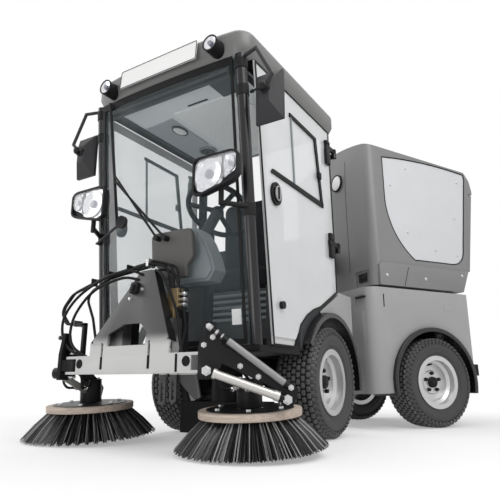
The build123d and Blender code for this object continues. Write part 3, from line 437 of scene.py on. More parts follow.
@dataclass
class Shape:
    """A mesh under way, in a local frame that is placed when it becomes a piece."""

    bm: BMesh = field(default_factory=bmesh.new)

    def box(self, low: Numbers, high: Numbers, bevel: float = 0.0, turn: Matrix | None = None) -> "Shape":
        """Adds a box, with rounded edges if asked.

        Args:
            low: One corner.
            high: The other corner.
            bevel: Radius of the edges.
            turn: A turn about the box's middle.

        Returns:
            This shape.
        """
        middle = (Vector(low) + Vector(high)) / 2
        size = [abs(b - a) for a, b in zip(low, high)]
        place = Matrix.Translation(middle) @ (turn or Matrix()) @ Matrix.Diagonal((*size, 1))
        made = bmesh.ops.create_cube(self.bm, size=1, matrix=place)
        if bevel > 0:
            edges = list({edge for vert in made["verts"] for edge in vert.link_edges})
            bmesh.ops.bevel(self.bm, geom=edges, offset=bevel, segments=3, profile=0.5, affect="EDGES")
        return self

    def rod(
            self, start: Numbers, end: Numbers, radius: float, tip: float | None = None,
            sides: int = 24) -> "Shape":
        """Adds a round rod or cone.

        Args:
            start: Middle of one end.
            end: Middle of the other end.
            radius: Radius at the start.
            tip: Radius at the end, if it is another one.
            sides: Facets round it.

        Returns:
            This shape.
        """
        along = Vector(end) - Vector(start)
        turn = along.to_track_quat("Z", "Y").to_matrix().to_4x4()
        place = Matrix.Translation((Vector(start) + Vector(end)) / 2) @ turn
        bmesh.ops.create_cone(
            self.bm, cap_ends=True, segments=sides, radius1=radius, radius2=radius if tip is None else tip,
            depth=along.length, matrix=place)
        return self

    def lathe(self, profile: Sequence[Pair], place: Matrix, sides: int = 64) -> "Shape":
        """Adds a body turned about z.

        Args:
            profile: Heights and radii in order; a radius of 0 closes an end.
            place: Where the axis stands.
            sides: Facets round it.

        Returns:
            This shape.
        """
        rings = []
        turns = [math.tau * i / sides for i in range(sides)]
        for height, radius in profile:
            count = 1 if radius == 0 else sides
            rings.append([
                self.bm.verts.new(place @ Vector((radius * math.cos(a), radius * math.sin(a), height)))
                for a in turns[:count]])
        for low, high in zip(rings, rings[1:]):
            for i in range(sides):
                j = (i + 1) % sides
                corners = [low[i % len(low)], low[j % len(low)], high[j % len(high)], high[i % len(high)]]
                self.bm.faces.new(list(dict.fromkeys(corners)))
        return self

    def plate(self, outline: Sequence[Numbers], depth: Numbers, hole: Sequence[Numbers] = ()) -> "Shape":
        """Adds a flat plate, or a flat frame where a hole of as many points is given.

        Args:
            outline: Its corners in order.
            depth: The step from its first face to its second.
            hole: The corners of a hole, one to each outer corner.

        Returns:
            This shape.
        """
        step = Vector(depth)
        outer = [[self.bm.verts.new(Vector(p) + s) for p in outline] for s in (Vector(), step)]
        inner = [[self.bm.verts.new(Vector(p) + s) for p in hole] for s in (Vector(), step)]
        self.wall(*outer)
        self.wall(*inner)
        for outside, inside in zip(outer, inner):
            if hole:
                self.wall(outside, inside)
            else:
                self.bm.faces.new(outside)
        return self

    def wall(self, low: Sequence[BMVert], high: Sequence[BMVert]) -> None:
        """Closes the gap between two rings of as many points.

        Args:
            low: The first ring.
            high: The second ring.
        """
        for i in range(len(low)):
            j = (i + 1) % len(low)
            self.bm.faces.new((low[i], low[j], high[j], high[i]))

    def skin(self, rings: Sequence[Sequence[BMVert]]) -> None:
        """Closes a row of rings of as many points into a body with both ends shut.

        Args:
            rings: The rings in order.
        """
        for low, high in zip(rings, rings[1:]):
            self.wall(low, high)
        self.bm.faces.new(rings[0])
        self.bm.faces.new(rings[-1])

    def strip(self, lower: Sequence[Numbers], upper: Sequence[Numbers], depth: Numbers) -> "Shape":
        """Adds a bent strip between two lines of as many points.

        Args:
            lower: Points of one edge.
            upper: Points of the other edge.
            depth: The step from its first face to its second.

        Returns:
            This shape.
        """
        for i in range(len(lower) - 1):
            self.plate([lower[i], lower[i + 1], upper[i + 1], upper[i]], depth)
        bmesh.ops.remove_doubles(self.bm, verts=self.bm.verts, dist=0.00001)
        return self

    def tube(self, points: Sequence[Numbers], radius: float, sides: int = 10, steps: int = 6) -> "Shape":
        """Adds a round tube through points, smoothly bent.

        Args:
            points: Points on its middle line.
            radius: Its radius.
            sides: Facets round it.
            steps: Rings from one point to the next.

        Returns:
            This shape.
        """
        line = smooth_line([Vector(p) for p in points], steps)
        rings = []
        normal = None
        for i, point in enumerate(line):
            along = (line[min(i + 1, len(line) - 1)] - line[max(i - 1, 0)]).normalized()
            normal = along.orthogonal() if normal is None else normal - along * normal.dot(along)
            normal.normalize()
            cross = along.cross(normal)
            rings.append([
                self.bm.verts.new(point + radius * (math.cos(a) * normal + math.sin(a) * cross))
                for a in (math.tau * k / sides for k in range(sides))])
        self.skin(rings)
        return self

    def mesh(self, name: str) -> Mesh:
        """Ends the shape as a mesh with its faces outwards.

        Args:
            name: The mesh's name.

        Returns:
            The mesh.
        """
        made = bpy.data.meshes.new(name)
        bmesh.ops.recalc_face_normals(self.bm, faces=self.bm.faces)
        self.bm.to_mesh(made)
        self.bm.free()
        return made

    def piece(self, name: str, finish: Finish, body: str, place: Matrix, smooth: float = 35.0) -> Object:
        """Turns the shape into a piece that rides on a body.

        Args:
            name: The piece's name.
            finish: Its finish.
            body: The CAD body that it rides on.
            place: Matrix from the shape's frame to the row frame.
            smooth: Edges flatter than this many degrees are shaded smooth.

        Returns:
            The finished object, at the origin with its place in its mesh.
        """
        mesh = self.mesh(name)
        mesh.transform(place)
        return finish_piece(mesh, name, finish, body, smooth)


def smooth_line(points: list[Vector], steps: int) -> list[Vector]:
    """Runs a smooth line through points.

    Args:
        points: The points.
        steps: Steps from one point to the next.

    Returns:
        The points of the smooth line.
    """
    line = []
    for i in range(len(points) - 1):
        a, b = points[max(i - 1, 0)], points[i]
        c, d = points[i + 1], points[min(i + 2, len(points) - 1)]
        for k in range(steps):
            t = k / steps
            line.append(0.5 * (
                2 * b + (c - a) * t + (2 * a - 5 * b + 4 * c - d) * t * t + (3 * b - a - 3 * c + d) * t ** 3))
    line.append(points[-1])
    return line


def inset(outline: Sequence[Numbers], width: float) -> list[Pair]:
    """Draws a closed outline inwards.

    Args:
        outline: Corners in order.
        width: How far each edge moves in.

    Returns:
        The inner outline's corners.
    """
    points = [Vector(p) for p in outline]
    count = len(points)
    area = sum(points[i - 1].x * points[i].y - points[i].x * points[i - 1].y for i in range(count))
    sign = 1 if area > 0 else -1
    inner = []
    for i, point in enumerate(points):
        before = (point - points[i - 1]).normalized()
        after = (points[(i + 1) % count] - point).normalized()
        first, second = Vector((-before.y, before.x)) * sign, Vector((-after.y, after.x)) * sign
        middle = (first + second).normalized()
        moved = point + middle * (width / max(0.3, middle.dot(first)))
        inner.append((moved.x, moved.y))
    return inner


def rounded(width: float, height: float, radius: float, steps: int = 6) -> list[Pair]:
    """Draws a rectangle with round corners about the middle.

    Args:
        width: Its width.
        height: Its height.
        radius: Radius of the corners.
        steps: Points in each corner.

    Returns:
        Its points in order.
    """
    points = []
    for corner, (sx, sy) in enumerate(((1, 1), (-1, 1), (-1, -1), (1, -1))):
        for k in range(steps + 1):
            angle = math.pi / 2 * (corner + k / steps)
            points.append((
                sx * (width / 2 - radius) + radius * math.cos(angle),
                sy * (height / 2 - radius) + radius * math.sin(angle)))
    return points


def side_on(x: float, points: Iterable[Pair]) -> list[Triple]:
    """Returns points of y and z in the plane at x."""
    return [(x, y, z) for y, z in points]


def front_on(y: float, points: Iterable[Pair]) -> list[Triple]:
    """Returns points of x and z in the plane at y."""
    return [(x, y, z) for x, z in points]


def corners(low: Pair, high: Pair) -> tuple[Pair, Pair, Pair, Pair]:
    """Returns the corners of a rectangle in order."""
    return low, (high[0], low[1]), high, (low[0], high[1])


def finish_piece(mesh: Mesh, name: str, finish: Finish, body: str, smooth: float = 35.0) -> Object:
    """Puts a placed mesh in the scene as a piece.

    Args:
        mesh: The mesh, in the row frame.
        name: The piece's name.
        finish: Its finish.
        body: The CAD body that it rides on.
        smooth: Edges flatter than this many degrees are shaded smooth.

    Returns:
        The object.
    """
    mesh.materials.clear()
    mesh.materials.append(finish.material())
    mesh.shade_smooth()
    mesh.set_sharp_from_angle(angle=math.radians(smooth))
    made = bpy.data.objects.new(name, mesh)
    bpy.context.scene.collection.objects.link(made)
    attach(made, body)
    LOG.info("%s: %d faces on %s", name, len(mesh.polygons), body)
    return made


def realised(holder: Object, tree: NodeTree, values: dict[str, object]) -> Mesh:
    """Runs a node group on an object and turns the result into a plain mesh.

    Args:
        holder: The object that holds the input, which is removed.
        tree: The node group.
        values: The group's inputs by name.

    Returns:
        The mesh.
    """
    modifier = holder.modifiers.new("nodes", "NODES")
    modifier.node_group = tree
    for socket in tree.interface.items_tree:
        if socket.in_out == "INPUT" and socket.name in values:
            modifier[socket.identifier] = values[socket.name]
    holder.update_tag()
    graph = bpy.context.evaluated_depsgraph_get()
    graph.update()
    made = bpy.data.meshes.new_from_object(holder.evaluated_get(graph), depsgraph=graph)
    holder.modifiers.remove(modifier)
    bpy.data.objects.remove(holder)
    return made


def copies_tree(name: str, inputs: dict[str, str]) -> tuple[NodeTree, Node, Node]:
    """Starts a node group that ends in realised and painted copies.

    Args:
        name: The group's name.
        inputs: Names and kinds of its inputs, with a Material among them.

    Returns:
        The group, its input node and the node that sets the copies on points.
    """
    tree = bpy.data.node_groups.new(name, "GeometryNodeTree")
    for label, kind in inputs.items():
        tree.interface.new_socket(label, in_out="INPUT", socket_type=f"NodeSocket{kind}")
    tree.interface.new_socket("Copies", in_out="OUTPUT", socket_type="NodeSocketGeometry")
    node, link = tree.nodes.new, tree.links.new
    given, out = node("NodeGroupInput"), node("NodeGroupOutput")
    scatter, real = node("GeometryNodeInstanceOnPoints"), node("GeometryNodeRealizeInstances")
    paint = node("GeometryNodeSetMaterial")
    link(scatter.outputs["Instances"], real.inputs["Geometry"])
    link(real.outputs["Geometry"], paint.inputs["Geometry"])
    link(given.outputs["Material"], paint.inputs["Material"])
    link(paint.outputs["Geometry"], out.inputs["Copies"])
    return tree, given, scatter


@dataclass(frozen=True)
class Ring:
    """Copies of one item round the z axis, set by Geometry Nodes."""

    count: int
    radius: float

    def spread(self, item: Shape, finish: Finish) -> Mesh:
        """Sets the copies and turns them into a plain mesh.

        Args:
            item: The item, with x pointing outwards from the ring.
            finish: The finish of the copies.

        Returns:
            The mesh of all the copies.
        """
        holder = bpy.data.objects.new("ring_holder", item.mesh("ring_item"))
        bpy.context.scene.collection.objects.link(holder)
        values = {"Count": self.count, "Radius": self.radius, "Material": finish.material()}
        return realised(holder, self.tree(), values)

    def piece(self, item: Shape, name: str, finish: Finish, body: str, place: Matrix) -> Object:
        """Sets the copies as a piece of their own.

        Args:
            item: The item, with x pointing outwards from the ring.
            name: The piece's name.
            finish: Its finish.
            body: The CAD body that it rides on.
            place: Matrix from the ring's frame to the row frame.

        Returns:
            The piece.
        """
        mesh = self.spread(item, finish)
        mesh.transform(place)
        return finish_piece(mesh, name, finish, body, 25.0)

    @staticmethod
    def tree() -> NodeTree:
        """Returns:
            The node group that sets copies of its input round a ring.
        """
        known = bpy.data.node_groups.get("ring_of_items")
        if known is not None:
            return known
        tree, given, scatter = copies_tree(
            "ring_of_items", {"Item": "Geometry", "Count": "Int", "Radius": "Float", "Material": "Material"})
        node, link = tree.nodes.new, tree.links.new
        circle, index = node("GeometryNodeMeshCircle"), node("GeometryNodeInputIndex")
        share, turn, euler = node("ShaderNodeMath"), node("ShaderNodeMath"), node("ShaderNodeCombineXYZ")
        share.operation, turn.operation = "DIVIDE", "MULTIPLY"
        turn.inputs[1].default_value = math.tau
        link(given.outputs["Count"], circle.inputs["Vertices"])
        link(given.outputs["Radius"], circle.inputs["Radius"])
        link(index.outputs["Index"], share.inputs[0])
        link(given.outputs["Count"], share.inputs[1])
        link(share.outputs["Value"], turn.inputs[0])
        link(turn.outputs["Value"], euler.inputs["Z"])
        link(circle.outputs["Mesh"], scatter.inputs["Points"])
        link(given.outputs["Item"], scatter.inputs["Instance"])
        link(euler.outputs["Vector"], scatter.inputs["Rotation"])
        return tree


@dataclass(frozen=True)
class Bolts:
    """Like heads set on points by Geometry Nodes, each standing up along its own direction."""

    across: float
    height: float
    finish: Finish = Look.STEEL
    sides: int = 6

    def set(self, name: str, body: str, place: Matrix, points: Sequence[tuple[Numbers, Numbers]]) -> Object:
        """Sets one head at each point.

        Args:
            name: The piece's name.
            body: The CAD body that it rides on.
            place: Matrix from the points' frame to the row frame.
            points: Each head's foot, and the direction that it stands up in.

        Returns:
            The piece.
        """
        r, h = self.across / 2, self.height
        washer = [(-0.001, 0), (-0.001, r * 1.3), (0.001, r * 1.3)]
        head = Shape().lathe([*washer, (0.0012, r), (h * 0.8, r), (h, r * 0.8), (h, 0)], Matrix(), self.sides)
        return spread(head, name, body, place, points, self.finish)

    @staticmethod
    def tree() -> NodeTree:
        """Returns:
            The node group that sets a head on each point of its input.
        """
        known = bpy.data.node_groups.get("heads_on_points")
        if known is not None:
            return known
        tree, given, scatter = copies_tree(
            "heads_on_points", {"Points": "Geometry", "Head": "Object", "Material": "Material"})
        node, link = tree.nodes.new, tree.links.new
        item, up = node("GeometryNodeObjectInfo"), node("GeometryNodeInputNamedAttribute")
        turn = node("FunctionNodeAlignRotationToVector")
        up.data_type = "FLOAT_VECTOR"
        up.inputs["Name"].default_value = "up"
        turn.axis = "Z"
        link(given.outputs["Head"], item.inputs["Object"])
        link(given.outputs["Points"], scatter.inputs["Points"])
        link(item.outputs["Geometry"], scatter.inputs["Instance"])
        link(up.outputs["Attribute"], turn.inputs["Vector"])
        link(turn.outputs["Rotation"], scatter.inputs["Rotation"])
        return tree


def spread(
        item: Shape, name: str, body: str, place: Matrix, points: Sequence[tuple[Numbers, Numbers]],
        finish: Finish) -> Object:
    """Sets copies of an item on points by Geometry Nodes.

    Args:
        item: The item, drawn about the origin with z up.
        name: The piece's name.
        body: The CAD body that it rides on.
        place: Matrix from the points' frame to the row frame.
        points: Each copy's place, and the direction that its z points in.
        finish: The finish.

    Returns:
        The piece.
    """
    single = bpy.data.objects.new("item", item.mesh("item"))
    feet = bpy.data.meshes.new("feet")
    feet.from_pydata([tuple(foot) for foot, _ in points], [], [])
    up = feet.attributes.new("up", "FLOAT_VECTOR", "POINT")
    up.data.foreach_set("vector", [part for _, way in points for part in way])
    holder = bpy.data.objects.new("holder", feet)
    for made in (single, holder):
        bpy.context.scene.collection.objects.link(made)
    mesh = realised(holder, Bolts.tree(), {"Head": single, "Material": finish.material()})
    bpy.data.objects.remove(single)
    mesh.transform(place)
    return finish_piece(mesh, name, finish, body, 30.0)


def arc(first: Pair, through: Pair, last: Pair, steps: int) -> list[Pair]:
    """Returns points along an arc, to the millimetre.

    Args:
        first: Where the arc starts.
        through: A point on its way.
        last: Where it ends.
        steps: How many equal steps it is cut into.

    Returns:
        The points, with both ends.
    """
    a, b, c = (complex(*point) for point in (first, through, last))
    ratio = (c - a) / (b - a)
    centre = a + (b - a) * (ratio - abs(ratio) ** 2) / (2j * ratio.imag)
    sweep = cmath.phase((b - centre) / (a - centre)) + cmath.phase((c - centre) / (b - centre))
    turned = [centre + (a - centre) * cmath.rect(1, sweep * k / steps) for k in range(steps + 1)]
    return [(round(point.real, 3), round(point.imag, 3)) for point in turned]


def tone(mesh: Mesh, tones: Sequence[float]) -> None:
    """Gives a mesh its tone attribute, one share of the finish's colour for each vertex."""
    layer = mesh.attributes.new(TONE, "FLOAT", "POINT")
    layer.data.foreach_set("value", list(tones))


def joined(parts: Iterable[Mesh], name: str) -> Mesh:
    """Joins meshes into one.

    Args:
        parts: The meshes, which are removed.
        name: The new mesh's name.

    Returns:
        The joined mesh.
    """
    merged = bmesh.new()
    for part in parts:
        merged.from_mesh(part)
        bpy.data.meshes.remove(part)
    mesh = bpy.data.meshes.new(name)
    merged.to_mesh(mesh)
    merged.free()
    return mesh


# Sub-assemblies


@dataclass
class CadNodes:
    """Finishes and softened edges of the CAD nodes that stay in sight."""

    nodes: dict[str, Object]
    finishes: dict[Finish, tuple[str, ...]] = field(default_factory=lambda: {
        Look.PAINT: ("hopper", "tailgate"),
        Look.ROOF: ("cab_roof",),
        Look.MIRROR_BACK: ("mirrors",),
        Look.BODY: ("rear_body",),
        Look.PALE: ("rear_skirt",),
        Look.PANEL: ("wiper_panel",),
        Look.HEADLINER: ("headliner",),
        Look.GLOSS_BLACK: ("front_pillars", "rear_pillars"),
        Look.BLACK: (
            "front_frame", "rear_frame", "front_axles", "rear_axles", "brush_arm_left", "brush_arm_right"),
        Look.GREY: ("brush_carrier",),
        Look.PLASTIC: (
            "wiper", "front_lamps", "door_left_fittings", "door_right_fittings", "steering_wheel",
            "suction_mouth", "rear_lamps"),
        Look.FENDER: ("front_fenders", "rear_fenders"),
        Look.RUBBER: ("brush_hoses", "suction_pipe", "suction_elbow", "cab_floor"),
        Look.TRIM: ("seat_base", "cab_rear_panel", "steering_column"),
        Look.WINDSCREEN: ("windscreen", "rear_window"),
        Look.PANE: ("door_left",),
        Look.FAR_PANE: ("door_right",),
        Look.RIM: ("rim_front_left", "rim_front_right", "rim_rear_left", "rim_rear_right"),
        Look.WOOD: ("brush_disc_left", "brush_disc_right"),
        Look.SHEET: ("hopper_sheets",),
        Look.IRON: ("engine", "tow_jaw"),
        Look.BRASS: ("valve_block",),
    })
    rounding: dict[str, float] = field(default_factory=lambda: {
        "cab_roof": 0.012, "hopper": 0.01, "rear_body": 0.01, "tailgate": 0.008, "rear_skirt": 0.008,
        "brush_carrier": 0.003, "wiper_panel": 0.008, "steering_column": 0.006, "front_fenders": 0.003,
        "rear_fenders": 0.003, "front_lamps": 0.006, "mirrors": 0.005, "brush_disc_left": 0.003,
        "brush_disc_right": 0.003, "cab_floor": 0.004, "seat_base": 0.006, "brush_arm_left": 0.002,
        "brush_arm_right": 0.002, "valve_block": 0.002})
    weld_gap: float = 0.00002
    round_from: float = 40.0
    crisp_from: float = 38.0

    def build(self) -> None:
        """Gives each node its finish, and rounds its sharp edges where the real piece is moulded."""
        for finish, names in self.finishes.items():
            for name in names:
                node = self.nodes[name]
                for place in node.material_slots:
                    place.material = finish.material()
                self.soften(node, self.rounding.get(name, 0.0))
        LOG.info("finishes on %d CAD nodes", sum(len(names) for names in self.finishes.values()))

    def soften(self, node: Object, width: float) -> None:
        """Adds the modifiers that weld, round and smooth a node.

        Args:
            node: The CAD node.
            width: Width of the rounding, or 0 for none.
        """
        weld = node.modifiers.new("weld", "WELD")
        weld.merge_threshold = self.weld_gap
        if width > 0:
            bevel = node.modifiers.new("rounding", "BEVEL")
            bevel.width = width
            bevel.segments = 3
            bevel.limit_method = "ANGLE"
            bevel.angle_limit = math.radians(self.round_from)
        node.data.shade_smooth()
        split = node.modifiers.new("crisp_edges", "EDGE_SPLIT")
        split.split_angle = math.radians(self.crisp_from)


@dataclass
class Wheels:
    """Four wheels: moulded tyres with turf tread, nuts, hub caps and valves."""

    places: Places
    blocks: int = 52
    pitch_rows: tuple[float, ...] = (-0.078, -0.052, -0.026, 0.0, 0.026, 0.052, 0.078)
    tread_radius: float = 0.292
    ring_radius: float = 0.28
    block_size: Pair = (0.0195, 0.0255)
    lug_spot: Pair = (-0.0105, 0.0945)
    lug_half: Pair = (0.0075, 0.006)
    lug_lean: float = 52.0
    lug_reach: Pair = (0.038, 0.022)
    casing: tuple[Pair, ...] = (
        (0.0855, 0.1515), (0.0855, 0.178), (0.0935, 0.192), (0.0965, 0.1935), (0.0978, 0.1975),
        (0.098, 0.201), (0.1025, 0.214), (0.1035, 0.216), (0.1052, 0.232), (0.1046, 0.242), (0.1062, 0.2435),
        (0.106, 0.2475), (0.1036, 0.249), (0.1, 0.261), (0.093, 0.272), (0.082, 0.28), (0.06, 0.2832),
        (0.03, 0.2845))
    # Tones of the rubber: painted light on block tops and lugs, painted shade in the grooves, a middle tone
    # on the sidewall
    tones: dict[str, float] = field(
        default_factory=lambda: {"top": 5.0, "lug": 3.6, "groove": 0.2, "wall": 2.1})
    wall_top: float = 0.255
    lug_from: float = 0.089
    worn_depth: float = 0.0018
    nuts_round: int = 5
    nut_ring: float = 0.0595

    def build(self) -> None:
        """Builds the four wheels' pieces."""
        for end in ("front", "rear"):
            frame = self.places.front() if end == "front" else self.places.rear()
            for side in Side:
                outward = frame.to_3x3() @ Vector((side.value, 0, 0))
                corner = f"{end}_{side.label}"
                place = self.places.spin(f"wheel_{corner}_spin", outward)
                self.tyre(corner, place)
                self.hub(corner, place)

    def crown(self, z: float) -> float:
        """Returns the radius of the tread's tips at a distance z from the tyre's middle."""
        return self.tread_radius - 0.8 * max(0.0, abs(z) - 0.02) ** 2

    def tyre(self, corner: str, place: Matrix) -> None:
        """Builds one tyre in place of its CAD solid.

        Args:
            corner: The wheel's name.
            place: The wheel's frame, with z outwards along the axle.
        """
        casing = Shape()
        around = [*self.casing, *((-z, r) for z, r in reversed(self.casing))]
        casing.lathe([*around, around[0]], Matrix(), 96)
        bmesh.ops.remove_doubles(casing.bm, verts=casing.bm.verts, dist=0.00005)
        mesh = casing.mesh("casing")
        pitch = math.tau * self.tread_radius / self.blocks
        item = Shape()
        for row, z in enumerate(self.pitch_rows):
            self.block(item, z, pitch / 2 if row % 2 else 0.0)
        x, out = self.lug_spot
        wide, tall = self.lug_half
        for sign in (1, -1):
            lean = Matrix.Rotation(sign * math.radians(self.lug_lean), 4, "Y")
            for shift, reach in zip((0.0, pitch / 2), self.lug_reach):
                item.box((x - reach / 2, shift - wide, sign * out - tall),
                         (x + reach / 2, shift + wide, sign * out + tall), turn=lean)
        tread = Ring(self.blocks, self.ring_radius).spread(item, Look.TYRE)
        cased = len(mesh.vertices)
        whole = joined([mesh, tread], f"tyre_tread_{corner}")
        # The tone paints light on the block tops and lugs and shade in the grooves
        tone(whole, [self.tone_at(vertex.co, vertex.index < cased) for vertex in whole.vertices])
        whole.transform(place)
        made = finish_piece(whole, f"tyre_tread_{corner}", Look.TYRE, f"wheel_{corner}", 32)
        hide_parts(f"tyre_{corner}")

    def tone_at(self, spot: Vector, casing: bool) -> float:
        """Returns the rubber's tone at a spot, with painted light and shade in it.

        Args:
            spot: A point in the wheel's frame.
            casing: Whether the point is on the casing, and not on a block.

        Returns:
            The share of the rubber's colour: block tops and lugs are light as painted light, and grooves are
            dark as painted shade.
        """
        radius = math.hypot(spot.x, spot.y)
        if casing:
            return self.tones["groove" if radius > self.wall_top else "wall"]
        if abs(spot.z) > self.lug_from:
            return self.tones["lug"]
        return self.tones["top" if radius > self.crown(spot.z) - self.worn_depth else "groove"]

    def block(self, item: Shape, z: float, shift: float) -> None:
        """Adds one tread block with sloped sides.

        Args:
            item: The shape for one pitch of tread.
            z: The row's distance from the middle of the tyre.
            shift: The block's shift round the tyre.
        """
        wide, long = self.block_size
        tall = self.crown(z) - self.ring_radius
        eight = ((-1, -0.6), (-0.6, -1), (0.6, -1), (1, -0.6), (1, 0.6), (0.6, 1), (-0.6, 1), (-1, 0.6))
        rings = []
        for x, share in ((-0.006, 1.16), (tall - 0.0012, 1.0), (tall, 0.84)):
            w, n = wide * share / 2, long * share / 2
            rings.append([item.bm.verts.new((x, shift + n * b, z + w * a)) for a, b in eight])
        item.skin(rings)

    def hub(self, corner: str, place: Matrix) -> None:
        """Builds the wheel nuts, hub cap and valve.

        Args:
            corner: The wheel's name.
            place: The wheel's frame, with z outwards along the axle.
        """
        body = f"wheel_{corner}"
        nut = Shape().lathe([
            (0.0315, 0.0135), (0.0335, 0.0135), (0.0335, 0.0112), (0.047, 0.0112), (0.049, 0.009),
            (0.049, 0)], Matrix(), 6)
        Ring(self.nuts_round, self.nut_ring).piece(nut, f"wheel_nuts_{corner}", Look.BLACK, body, place)
        cap = Shape().lathe([
            (0.0305, 0.036), (0.048, 0.035), (0.052, 0.031), (0.0515, 0.024), (0.055, 0.022), (0.058, 0.012),
            (0.0585, 0)], Matrix(), 40)
        cap.piece(f"hub_cap_{corner}", Look.PLASTIC, body, place)
        valve = Shape().rod((0.112, 0.02, 0.026), (0.118, 0.021, 0.06), 0.0055, sides=12)
        valve.rod((0.118, 0.021, 0.058), (0.1195, 0.0215, 0.069), 0.0042, sides=12)
        valve.piece(f"valve_stem_{corner}", Look.RUBBER, body, place)


@dataclass
class Brushes:
    """Side brushes: tufts of bristles, black centre plates and their bolts."""

    places: Places
    tufts_round: int = 48
    tuft_arc: float = 4.8
    rows: tuple[tuple[int, float, Pair, Pair], ...] = (
        (26, 0.0, (0.162, 0.204), (0.282, 0.337)), (16, 3.75, (0.14, 0.166), (0.236, 0.288)))
    strand_radii: Triple = (0.0034, 0.0033, 0.0026)
    strand_points: int = 9
    fan: float = 0.15
    # Share and tones of strands made lighter as painted highlights, and tones of the darker rest
    light_share: float = 0.32
    light_tones: Pair = (4.5, 15.0)
    dark_tones: Pair = (0.08, 0.9)
    top: float = -0.029
    drop: float = -0.156

    def build(self) -> None:
        """Builds both brushes' pieces."""
        for side in Side:
            place = self.places.spin(f"brush_{side.label}_spin", Vector((0, 0, 1)))
            self.tufts(side, place)
            self.centre(side, place)

    def tufts(self, side: Side, place: Matrix) -> None:
        """Builds one brush's bristles in place of their CAD solid.

        Args:
            side: The brush's side.
            place: The brush's frame, with z up its axis.
        """
        dice = random.Random(SEED + side.value)
        tuft = Shape()
        for strands, turn, root, tip in self.rows:
            for _ in range(strands):
                self.strand(tuft, dice, turn, root, tip)
        whole = Ring(self.tufts_round, 0.0).spread(tuft, Look.BRISTLE)
        # Each strand takes one tone: the lighter ones are painted highlights, the rest are darkened
        shades: list[float] = []
        while len(shades) < len(whole.vertices):
            light = dice.random() < self.light_share
            shades += [dice.uniform(*(self.light_tones if light else self.dark_tones))] * self.strand_points
        tone(whole, shades[:len(whole.vertices)])
        whole.transform(place @ Matrix.Rotation(math.radians(self.tuft_arc / 2), 4, "Z"))
        made = finish_piece(whole, f"bristle_tufts_{side.label}", Look.BRISTLE, f"brush_{side.label}", 60)
        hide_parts(f"bristles_{side.label}")

    def strand(self, tuft: Shape, dice: random.Random, turn: float, root: Pair, tip: Pair) -> None:
        """Adds one bent bristle, three rings of three points, to a tuft.

        Args:
            tuft: The tuft, pointing along x.
            dice: The source of chance.
            turn: The row's turn against the outer row, in degrees.
            root: Least and largest radius of the row at the disc.
            tip: Least and largest radius of the row at the floor.
        """
        out, across = dice.random(), math.radians(turn + dice.uniform(-0.57, 0.57) * self.tuft_arc)
        stray = across * (1 + self.fan) + dice.gauss(0, 0.008) - self.fan * math.radians(turn)
        near = root[0] + out * (root[1] - root[0])
        far = tip[0] + out * (tip[1] - tip[0]) - dice.uniform(0, 0.006)
        start = Vector((near * math.cos(across), near * math.sin(across), self.top))
        end = Vector((far * math.cos(stray), far * math.sin(stray), self.drop + dice.uniform(0, 0.007)))
        middle = start.lerp(end, 0.5) + Vector((0.003, 0, 0.003))
        rings = []
        for point, radius in zip((start, middle, end), self.strand_radii):
            rings.append([
                tuft.bm.verts.new(point + Vector((radius * math.cos(a), radius * math.sin(a), 0)))
                for a in (0.0, math.tau / 3, 2 * math.tau / 3)])
        tuft.skin(rings)

    def centre(self, side: Side, place: Matrix) -> None:
        """Builds the black plate over the disc's middle and its bolts.

        Args:
            side: The brush's side.
            place: The brush's frame, with z up its axis.
        """
        body = f"brush_{side.label}"
        section = [(0.0, 0.062), (0.0, 0.186), (0.0035, 0.184), (0.0045, 0.062), (0.0, 0.062)]
        Shape().lathe(section, Matrix(), 48).piece(f"brush_plate_{side.label}", Look.BLACK, body, place)
        bolt = Shape().lathe([(0.004, 0.011), (0.012, 0.0105), (0.013, 0.008), (0.013, 0)], Matrix(), 6)
        Ring(6, 0.15).piece(bolt, f"brush_bolts_{side.label}", Look.STEEL, body, place)


